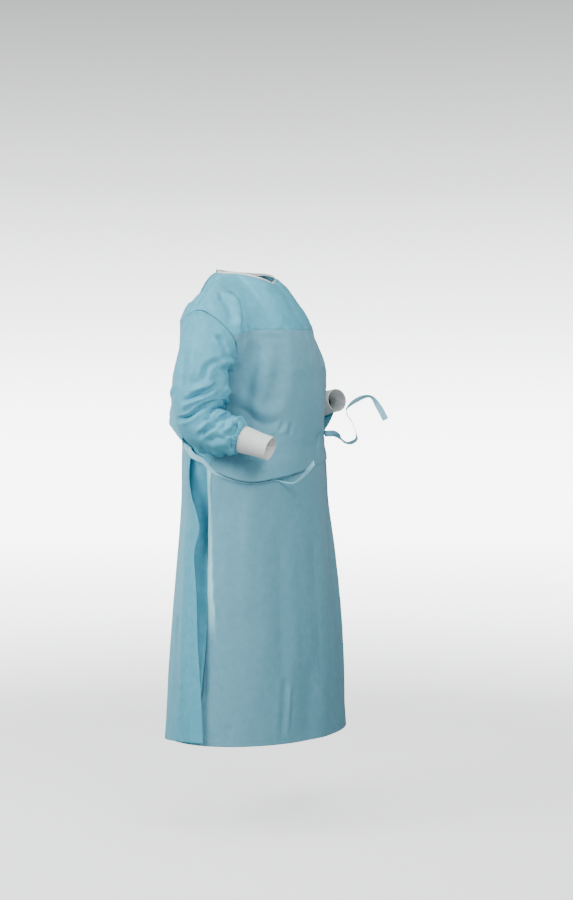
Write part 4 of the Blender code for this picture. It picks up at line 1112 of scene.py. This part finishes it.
def shell(name, points, thickness, material, node, closed=False, flip=False, pale=None):
    """A thin cloth shell through a grid of points, in place of its solid."""
    faces = grid_faces(*points.shape[:2], closed)
    if flip:
        faces = [face[::-1] for face in faces]
    item = add_mesh(name, points, faces, material)
    # pale holds the share of the painted highlight at each point, kept on the mesh
    if pale is not None:
        share = item.data.attributes.new("pale", "FLOAT", "POINT")
        share.data.foreach_set("value", pale.ravel())
    wall = item.modifiers.new("Wall", "SOLIDIFY")
    wall.thickness = thickness
    wall.offset = 0.0
    wall.use_quality_normals = True
    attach(item, "root")
    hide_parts(node)
    return item


def stitch_line(run, normals, thickness, closed=False):
    """Vertices and faces of a row of stitches along a run of points."""
    if closed:
        run = np.vstack([run, run[:1]])
        normals = np.vstack([normals, normals[:1]])
    lengths = run_lengths(run)
    count = int(lengths[-1] / STITCH_PITCH)
    middles = (np.arange(count) + 0.5) * lengths[-1] / count

    def at(places, rows):
        """Rows read at distances along the run."""
        return np.stack([np.interp(places, lengths, rows[:, k]) for k in range(3)], axis=-1)

    rings = []
    for share, rise, thickness_share in STITCH_PROFILE:
        places = middles + share * STITCH_LENGTH
        normal = at(places, normals)
        along = unit(at(places + THREAD, run) - at(places - THREAD, run))
        across = np.cross(along, normal)
        centre = at(places, run) + normal * (thickness / 2 + rise * THREAD)
        for k in range(STITCH_SIDES):
            turn = 2.0 * math.pi * k / STITCH_SIDES
            spoke = normal * math.cos(turn) + across * math.sin(turn)
            rings.append(centre + spoke * (THREAD * thickness_share))
    points = np.stack(rings, axis=1)
    one = grid_faces(len(STITCH_PROFILE), STITCH_SIDES, closed=True)
    size = points.shape[1]
    faces = [tuple(i + size * k for i in face) for k in range(count) for face in one]
    return points.reshape(-1, 3), faces


def stitches(name, lines, material):
    """Rows of stitches as one mesh: each row has its points, normals, cloth thickness and closing."""
    vertices, faces = np.zeros((0, 3)), []
    for line in lines:
        points, found = stitch_line(*line)
        faces.extend(tuple(i + len(vertices) for i in face) for face in found)
        vertices = np.vstack([vertices, points])
    item = add_mesh(name, vertices, faces, material)
    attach(item, "root")


def seam_lines(points, normals, thickness, rows, columns):
    """Runs for stitches along some rows and columns of a panel."""
    lines = [(points[row], normals[row], thickness) for row in rows]
    return lines + [(points[:, column], normals[:, column], thickness) for column in columns]


# Rows of the panels as stations, and their columns as angles
YOKE_ROWS = spaced(NECK, 48, 0.95, 7, CHEST)
BUST_ROWS = spaced(CHEST, 6, 1.05, 26, ARMPIT)
BACK_ROWS = spaced(NECK, 66, ARMPIT)
LOWER_ROWS = spaced(
    ARMPIT, 44, 2.60, 20, 2.84, 12, 2.95, 8, BLOUSE, 14, TUCK, 12, 4.09, 14, 4.25, 78, 4.98, 6, HEM)[1:]
SEAM_ANGLE = math.degrees(SIDE_GAP / 2 / SEAM_RADIUS)
RIGHT_COLUMNS = spaced(SEAM_ANGLE, 44, RIDGE_SPAN)
LEFT_COLUMNS = spaced(180.0 - RIDGE_SPAN, 36, 180.0 - SEAM_ANGLE)
NECK_COLUMNS = spaced(RIDGE_SPAN, 64, 180.0 - RIDGE_SPAN)
FRONT_COLUMNS = np.concatenate([RIGHT_COLUMNS, NECK_COLUMNS[1:-1], LEFT_COLUMNS])
UNDER_COLUMN_COUNT = 40
FLAP_COLUMN_COUNT = 84
# Shares down a sleeve and a cuff, and the points round them
SLEEVE_SHARES = spaced(
    0.002, 16, 0.06, 18, 0.16, 38, 0.40, 54, 0.72, 34, 0.90, 16, CUFF_SEAM, 4, SLEEVE_END)
CUFF_SHARES = np.linspace(0.0, 1.0, 44)
SLEEVE_SIDES = 120
CUFF_SIDES = 160


def eased(points, angles, rows):
    """Points with the turn of the cloth at the armpit level made soft, away from the side seams."""
    turn = np.minimum(np.abs(angles), 180.0 - np.abs(angles))
    share = np.exp(-((rows - ARMPIT) / EASE_SPAN) ** 2) * smoothstep((turn - EASE_CLEAR) / EASE_RAMP)
    for _ in range(EASE_TIMES):
        middle = (points[:-2] + 2.0 * points[1:-1] + points[2:]) / 4.0
        points[1:-1] += (middle - points[1:-1]) * share[1:-1, :, None]
    return points


def dressed(angles, rows, lift, creases, side_fold=()):
    """Points of a body panel with its creases, puckers and crumple."""
    points = eased(body(angles, rows, lift), angles, rows)
    facing = outward(np.broadcast_to(angles, points.shape[:-1]))
    normals = grid_normals(points, False, facing)
    moved = creased(points, normals, creases)
    moved = creased(moved, normals, side_fold, 0.0)
    moved = surfaced(moved, normals)
    calm = smoothstep(rows / TOP_CALM)
    points = points + (moved - points) * np.broadcast_to(calm, points.shape[:-1])[..., None]
    return points, grid_normals(points, False, facing)


def front_panels(creases, upper_material, lower_material, thread):
    """Front above the chest line, and the reinforced front below it."""
    upper_rows = YOKE_ROWS.copy()
    upper_rows[-1] -= CHEST_SEAM
    lower_rows = np.concatenate([BUST_ROWS, LOWER_ROWS])
    lower_rows[0] += CHEST_SEAM
    angles = FRONT_COLUMNS[None, :]
    points, normals = dressed(angles, upper_rows[:, None], 0.0, creases)
    upper = shell("front_upper_cloth", points, CLOTH, upper_material, "front_upper")
    lines = seam_lines(points, normals, CLOTH, (TOP_STITCH_ROW, CHEST_STITCH_ROW), FRONT_STITCH_COLUMNS)
    stitches("front_upper_stitches", lines, thread)
    rows = lower_rows[:, None]
    points, normals = dressed(angles, rows, 0.0, creases, crease_rows(SIDE_FOLD, on_body))
    # The lower front carries the painted highlight beside the flap
    lower = shell("front_lower_cloth", points, REINFORCED, lower_material, "front_lower",
                  pale=painted_highlight_share(body(angles, rows), rows))
    lines = seam_lines(points, normals, REINFORCED, (HEM_STITCH_ROW,), FRONT_STITCH_COLUMNS)
    stitches("front_lower_stitches", lines, thread)


def back_columns(rows, fixed, column, count):
    """Angles of a back layer, from its side seam to its free edge, which slants."""
    edge = through(station_drop(rows), BACK_EDGES, column)[:, None]
    start = fixed[-1]
    share = spaced(0.0, count, 1.0)[1:]
    return np.hstack([np.broadcast_to(fixed, (len(rows), len(fixed))), start + (edge - start) * share])


def right_back_columns(rows):
    """Angles of the under layer."""
    return back_columns(rows, -RIGHT_COLUMNS, 2, UNDER_COLUMN_COUNT)


def left_back_columns(rows):
    """Angles of the outer layer, out to its flap."""
    return back_columns(rows, -LEFT_COLUMNS[::-1], 1, FLAP_COLUMN_COUNT)


def back_panels(creases, material, thread):
    """Both back panels: the under layer, and the outer one with its flap."""
    stations = np.concatenate([BACK_ROWS, LOWER_ROWS])
    rows = stations[:, None]
    angles = right_back_columns(stations)
    points, normals = dressed(angles, rows, 0.0, creases, crease_rows(SIDE_FOLD, on_body))
    lines = seam_lines(points, normals, CLOTH, (TOP_STITCH_ROW, HEM_STITCH_ROW), UNDER_STITCH_COLUMNS)
    stitches("back_right_stitches", lines, thread)
    # The under layer carries the same painted highlight
    under = shell("back_right_cloth", points, CLOTH, material, "back_right", flip=True,
                  pale=painted_highlight_share(body(angles, rows), rows))

    edge, under_edge = (through(station_drop(rows), BACK_EDGES, column) for column in (1, 2))
    angles = left_back_columns(stations)
    lift = flap_lift(angles, rows, edge, under_edge)
    points, normals = dressed(angles, rows, lift, creases + straight_rows(FLAP_CREASES))
    low = np.clip(rows - TUCK, 0.0, 1.0) ** 2
    points[..., 2] += FLAP_HEM_RISE * low * smoothstep(1.0 - (edge - angles) / FLAP_HEM_SPAN)
    lines = seam_lines(points, normals, CLOTH, (TOP_STITCH_ROW, HEM_STITCH_ROW), FLAP_STITCH_COLUMNS)
    stitches("back_left_stitches", lines, thread)
    outer = shell("back_left_cloth", points, CLOTH, material, "back_left")


def sleeve(side_name, rows, creases, material, thread):
    """A sleeve with its creases, gathered into its cuff."""
    turns = np.arange(SLEEVE_SIDES) * 360.0 / SLEEVE_SIDES
    points = sleeve_grid(rows, SLEEVE_SHARES, turns)
    centres = points.mean(axis=1, keepdims=True)
    normals = grid_normals(points, True, points - centres)
    points = creased(points, normals, sleeve_rows(creases, rows))
    grow = smoothstep((SLEEVE_SHARES - FINE_GATHER_START) / FINE_GATHER_RAMP)
    grow = grow * smoothstep((1.0 - SLEEVE_SHARES) / FINE_GATHER_END)
    sway = FINE_GATHER_SWAY * np.sin(np.radians(turns * FINE_GATHER_SWAYS))
    wave = np.cos(np.radians(turns * FINE_GATHERS) + sway)
    points = points + normals * (FINE_GATHER_DEPTH * grow[:, None] * wave[None, :])[..., None]
    points = surfaced(points, normals, chest_seam=False)
    normals = grid_normals(points, True, points - centres)
    lines = [(points[row], normals[row], CLOTH, True) for row in (SLEEVE_STITCH_ROW, CUFF_STITCH_ROW)]
    stitches("sleeve_%s_stitches" % side_name, lines, thread)
    item = shell("sleeve_%s_cloth" % side_name, points, CLOTH, material, "sleeve_%s" % side_name,
                 closed=True, flip=side_of(rows) < 0)


def cuff(side_name, rows, wrist, material):
    """A knit cuff from the end of the sleeve to the wrist, with its ribs."""
    start, sleeve_end_axis, _ = sleeve_axis(rows, CUFF_START)
    way = np.array(wrist) - start
    side = side_of(rows)
    turns = np.arange(CUFF_SIDES) * 360.0 / CUFF_SIDES
    rings = []
    for share in CUFF_SHARES:
        axis = unit(sleeve_end_axis + (unit(way) - sleeve_end_axis) * smoothstep(share * CUFF_BEND))
        radius = CUFF_RADIUS + (WRIST_RADIUS - CUFF_RADIUS) * smoothstep(share * CUFF_NARROWING)
        radius = radius + RIB_DEPTH * np.cos(np.radians(turns * CUFF_RIBS))
        offset = ring_offset(side, axis, [1.0] * 4, turns) * radius[:, None]
        rings.append(start + way * share + offset)
    item = shell("cuff_%s_knit" % side_name, np.array(rings), KNIT, material, "cuff_%s" % side_name,
                 closed=True, flip=side < 0)


def neck_binding(material):
    """Binding along the neckline, lapped at the nape, with its outer end free."""
    top = np.array([NECK])
    under = right_back_columns(top)[0][::-1]
    outer = left_back_columns(top)[0]
    under = under[under <= -RIDGE_SPAN]
    outer = outer[outer >= RIDGE_SPAN - 180.0]
    angles = np.concatenate([under, NECK_COLUMNS, outer])
    lift = np.concatenate([
        np.zeros(len(under) + len(NECK_COLUMNS)),
        flap_lift(outer, NECK, BACK_EDGES[0][1], BACK_EDGES[0][2])])
    edge = body(angles, NECK, lift)
    keep = np.concatenate([[True], np.linalg.norm(np.diff(edge, axis=0), axis=-1) > 2.0 * RIDGE_GAP])
    edge, angles = edge[keep], angles[keep]
    out = outward(neck_turn(angles))
    run = run_lengths(edge)
    tip = smoothstep(1.0 - (run[-1] - run) / BINDING_TIP_LENGTH) * BINDING_TIP
    rows = []
    for share in BINDING_SHARES:
        inward, up = (first + (last - first) * share for first, last in zip(BINDING_START, BINDING_END))
        belly = BINDING_BELLY * math.sin(math.pi * share)
        row = edge + out * (0.5 * tip - inward + belly)[:, None]
        row[:, 2] += up + tip
        rows.append(row)
    item = shell("neck_binding_tape", np.array(rows), BINDING, material, "neck_binding",
                 flip=True)


def ribbon(name, node, centres, across, widths, material):
    """A flat tape along a path, with its own direction across at each place."""
    along = unit(np.gradient(centres, axis=0))
    across = unit(across - along * np.sum(across * along, axis=-1)[:, None])
    half = (across.T * widths / 2).T
    cup = np.cross(across, along)
    rows = []
    for share in np.linspace(1.0, -1.0, TIE_ACROSS):
        rows.append(centres + half * share + cup * (TIE_CUP * (share * share - 0.5)))
    return shell(name, np.array(rows), TAPE, material, node)


def long_tie(material):
    """Tie from the free edge of the flap, forward under the blouse, to its free end."""
    columns = np.concatenate([-RIGHT_COLUMNS[::-1], RIGHT_COLUMNS[1:]])
    angles = columns[(columns > TIE_START) & (columns < TIE_OFF_BODY)]
    first, last = TIE_OFF_FLAP
    on_flap = smoothstep((last - angles) / (last - first))
    widths = through(angles, TIE_DRAWN, 1)
    skirt = HEM_DROP - through(angles, WAIST, 1) - through(angles, WAIST, 3)
    out = outward(angles)
    edges = []
    for below in (TIE_BELOW + 0.0 * widths, TIE_BELOW + widths):
        station = TUCK + below / skirt
        plain = body(angles, station)
        lifted = body(angles, station, LAYER_LIFT + FLAP_EDGE_LIFT)
        edges.append(plain + (lifted - plain) * on_flap[:, None] + out * TIE_LIFT)
    centres = (edges[0] + edges[1]) / 2
    across = (edges[0] - edges[1]) / widths[:, None]
    knots = np.hstack([centres, across, widths[:, None]])
    free = [centre + direction + (width,) for centre, direction, width in LONG_TIE_FREE]
    free = smooth_path([tuple(knots[-4]), tuple(knots[-1])] + free, LONG_TIE_STEPS * (len(free) + 1) + 1)
    path = np.vstack([knots[:-3], free[1:]])
    item = ribbon("tie_long_tape", "tie_long", path[:, :3], path[:, 3:6], path[:, 6], material)


def short_tie(material):
    """Tie sewn to the left front, drawn forward and up to its free end."""
    angles = np.array(SHORT_TIE_SEAT)
    out = outward(angles) * SHORT_TIE_LIFT
    top, bottom = (body(angles, station) + out for station in SHORT_TIE_STATIONS)
    knots = [tuple(row) for row in np.hstack([(top + bottom) / 2, (top - bottom) / TIE_WIDTH])]
    knots = knots + [centre + across for centre, across in SHORT_TIE_FREE]
    path = smooth_path(knots, TIE_STEPS * len(knots) + 1)
    widths = np.full(len(path), TIE_WIDTH)
    item = ribbon("tie_short_tape", "tie_short", path[:, :3], path[:, 3:6], widths, material)


def set_inputs(node, inputs):
    """Constant values on a node's own sockets."""
    for name, value in inputs.items():
        node.inputs[name].default_value = value


def ramp_node(tree, stops):
    """A colour ramp from rows of position and colour."""
    ramp = tree.nodes.new("ShaderNodeValToRGB")
    elements = ramp.color_ramp.elements
    for position, _ in stops[1:-1]:
        elements.new(position)
    for element, (position, colour) in zip(elements, stops):
        element.position = position
        element.color = colour
    return ramp


def texture_node(tree, coordinates, kind, inputs):
    """A texture on the object's own coordinates."""
    texture = tree.nodes.new(kind)
    set_inputs(texture, inputs)
    tree.links.new(coordinates, texture.inputs["Vector"])
    return texture


def fabric(name, tones, cloud_size, finish, relief, with_painted_highlight=False):
    """A cloth: cloudy between two close tones, with the painted highlight where asked, a shine, and bumps
    from rows of texture and depth.
    """
    material = bpy.data.materials.new(name)
    material.use_nodes = True
    tree = material.node_tree
    shader = tree.nodes["Principled BSDF"]
    roughness, sheen, sheen_roughness = finish
    set_inputs(shader, {
        "Roughness": roughness, "Specular IOR Level": 0.25, "Specular Tint": COOL_TINT,
        "Sheen Tint": COOL_TINT, "Sheen Weight": sheen, "Sheen Roughness": sheen_roughness})
    coordinates = tree.nodes.new("ShaderNodeTexCoord").outputs["Object"]
    cloud = texture_node(
        tree, coordinates, NOISE, {"Scale": 1.0 / cloud_size, "Detail": 5.0, "Roughness": 0.6})
    ramp = ramp_node(tree, list(zip(CLOUD_STOPS, tones)))
    tree.links.new(cloud.outputs["Fac"], ramp.inputs["Fac"])
    colour = ramp.outputs["Color"]
    if with_painted_highlight:
        colour = add_painted_highlight(tree, colour)
    tree.links.new(colour, shader.inputs["Base Color"])
    normal = None
    for kind, inputs, output, depth in relief:
        texture = texture_node(tree, coordinates, kind, inputs)
        bump = tree.nodes.new("ShaderNodeBump")
        set_inputs(bump, {"Strength": 1.0, "Distance": depth})
        tree.links.new(texture.outputs[output], bump.inputs["Height"])
        if normal is not None:
            tree.links.new(normal, bump.inputs["Normal"])
        normal = bump.outputs["Normal"]
    tree.links.new(normal, shader.inputs["Normal"])
    return material


def add_painted_highlight(tree, colour):
    """The colour of the cloth, mixed with the pale tone of the painted highlight where the mesh's pale
    attribute says so.
    """
    share = tree.nodes.new("ShaderNodeAttribute")
    share.attribute_name = "pale"
    mix = tree.nodes.new("ShaderNodeMix")
    mix.data_type = "RGBA"
    factor, low, high = (mix.inputs[socket] for socket in MIX_COLOUR_INPUTS)
    high.default_value = PAINTED_HIGHLIGHT_TONE
    tree.links.new(share.outputs["Fac"], factor)
    tree.links.new(colour, low)
    return mix.outputs[MIX_COLOUR_OUTPUT]


def nonwoven(name, tones, roughness, fibre_depth, bond_depth, with_painted_highlight=False):
    """Nonwoven cloth: cloudy fibres, a fine grid of bond points and a soft sheen."""
    return fabric(name, tones, 0.018, (roughness, 0.06, 0.40), (
        (NOISE, {"Scale": 70.0, "Detail": 4.0, "Roughness": 0.55}, "Fac", 0.0010),
        (CELLS, {"Scale": 620.0, "Randomness": 0.25}, "Distance", bond_depth),
        (NOISE, {"Scale": 900.0, "Detail": 3.0, "Roughness": 0.7}, "Fac", fibre_depth)), with_painted_highlight)


def knit(name, tones):
    """White knit of the cuffs and binding: fine loops over the ribs."""
    return fabric(name, tones, 0.006, (0.85, 0.35, 0.5), (
        (CELLS, {"Scale": 1100.0, "Randomness": 0.15}, "Distance", 0.0003),
        (NOISE, {"Scale": 1400.0, "Detail": 3.0}, "Fac", 0.0002)))


def make_camera():
    """The photo's view: level eye height, aimed a little down and to the right of the axis."""
    camera = add_object("camera", bpy.data.cameras.new("camera"))
    camera.data.sensor_fit = "VERTICAL"
    camera.data.sensor_height = SENSOR
    camera.data.lens = FOCUS / FRAME_HEIGHT * SENSOR
    camera.location = CAMERA_AT
    toward = Vector(TOWARD_CAMERA).normalized()
    right = Vector(TO_RIGHT).normalized()
    aim = -toward + right * (AIM_RIGHT / FOCUS) + Vector((0.0, 0.0, -AIM_DOWN / FOCUS))
    camera.rotation_euler = aim.to_track_quat("-Z", "Y").to_euler()
    bpy.context.scene.camera = camera


def area_light(name, toward, right, up, size, energy):
    """A soft square light, placed by distances towards the camera, to its right and up."""
    light = add_object(name, bpy.data.lights.new(name, "AREA"))
    light.data.shape = "RECTANGLE"
    light.data.size, light.data.size_y = size
    light.data.energy = energy
    place = Vector(TOWARD_CAMERA) * toward + Vector(TO_RIGHT) * right + Vector((0.0, 0.0, up))
    light.location = place
    light.rotation_euler = (Vector(LIT_PLACE) - place).to_track_quat("-Z", "Y").to_euler()


def make_backdrop():
    """Plain pale floor that curves up far away, brightest behind the gown, as in a studio."""
    rise = np.radians(np.linspace(0.0, 90.0, FLOOR_RINGS))
    radii = FLOOR_FLAT + FLOOR_CURVE[0] * np.sin(rise)
    heights = FLOOR_CURVE[1] * (1.0 - np.cos(rise))
    radii = np.append(radii, radii[-1])[:, None]
    heights = np.append(heights, BACKDROP_TOP)[:, None]
    turns = 2.0 * math.pi * np.arange(FLOOR_SIDES) / FLOOR_SIDES
    points = np.stack([radii * np.cos(turns), radii * np.sin(turns), heights + 0.0 * turns], axis=-1)
    faces = grid_faces(len(points), FLOOR_SIDES, closed=True) + [tuple(range(FLOOR_SIDES))]
    pale = bpy.data.materials.new("studio_pale")
    pale.use_nodes = True
    tree = pale.node_tree
    shader = tree.nodes["Principled BSDF"]
    set_inputs(shader, {
        "Base Color": FLOOR_TONE, "Roughness": 0.9, "Specular IOR Level": 0.1,
        "Emission Strength": BACKDROP_GLOW})
    place = tree.nodes.new("ShaderNodeTexCoord")
    split = tree.nodes.new("ShaderNodeSeparateXYZ")
    ramp = ramp_node(tree, [(height / BACKDROP_TOP, (share * 0.985, share, share * 1.005, 1.0))
                            for height, share in BACKDROP_GLOW_AT])
    tree.links.new(place.outputs["Generated"], split.inputs["Vector"])
    tree.links.new(split.outputs["Z"], ramp.inputs["Fac"])
    tree.links.new(ramp.outputs["Color"], shader.inputs["Emission Color"])
    floor = add_mesh("floor", points, faces, pale)
    floor.location = (0.0, 0.0, FLOOR_Z)
    floor.visible_diffuse = False
    floor.visible_glossy = False
    floor.visible_shadow = False


def make_studio():
    """A large soft light from the left, weak ones behind and above, and a pale world."""
    world = bpy.data.worlds.new("studio")
    world.use_nodes = True
    set_inputs(world.node_tree.nodes["Background"], {"Color": WORLD_TONE, "Strength": WORLD_GLOW})
    bpy.context.scene.world = world
    for row in LIGHTS:
        area_light(*row)
    make_backdrop()


def dress():
    """All the cloth of the gown."""
    # Both body cloths carry the painted highlight beside the flap
    cloth = nonwoven("nonwoven_cloth", CLOTH_TONES, 0.60, 0.00012, 0.00022, with_painted_highlight=True)
    strong = nonwoven("reinforced_cloth", REINFORCED_TONES, 0.50, 0.00008, 0.00012, with_painted_highlight=True)
    # The tape's paler tones are partly painted light
    tape = nonwoven("tape_cloth", TAPE_TONES, 0.62, 0.00010, 0.00020)
    thread = nonwoven("thread", THREAD_TONES, 0.55, 0.00004, 0.00004)
    white = knit("white_knit_cloth", KNIT_TONES)
    creases = straight_rows(FRONT_CREASES) + crease_rows(TURNED_CREASES, on_body)
    front_panels(creases, cloth, strong, thread)
    back_panels(creases, cloth, thread)
    sleeve("right", RIGHT_SLEEVE, RIGHT_SLEEVE_CREASES, cloth, thread)
    sleeve("left", LEFT_SLEEVE, LEFT_SLEEVE_CREASES, cloth, thread)
    cuff("right", RIGHT_SLEEVE, RIGHT_CUFF_END, white)
    cuff("left", LEFT_SLEEVE, LEFT_CUFF_END, white)
    neck_binding(white)
    long_tie(tape)
    short_tie(tape)


make_camera()
make_studio()
dress()
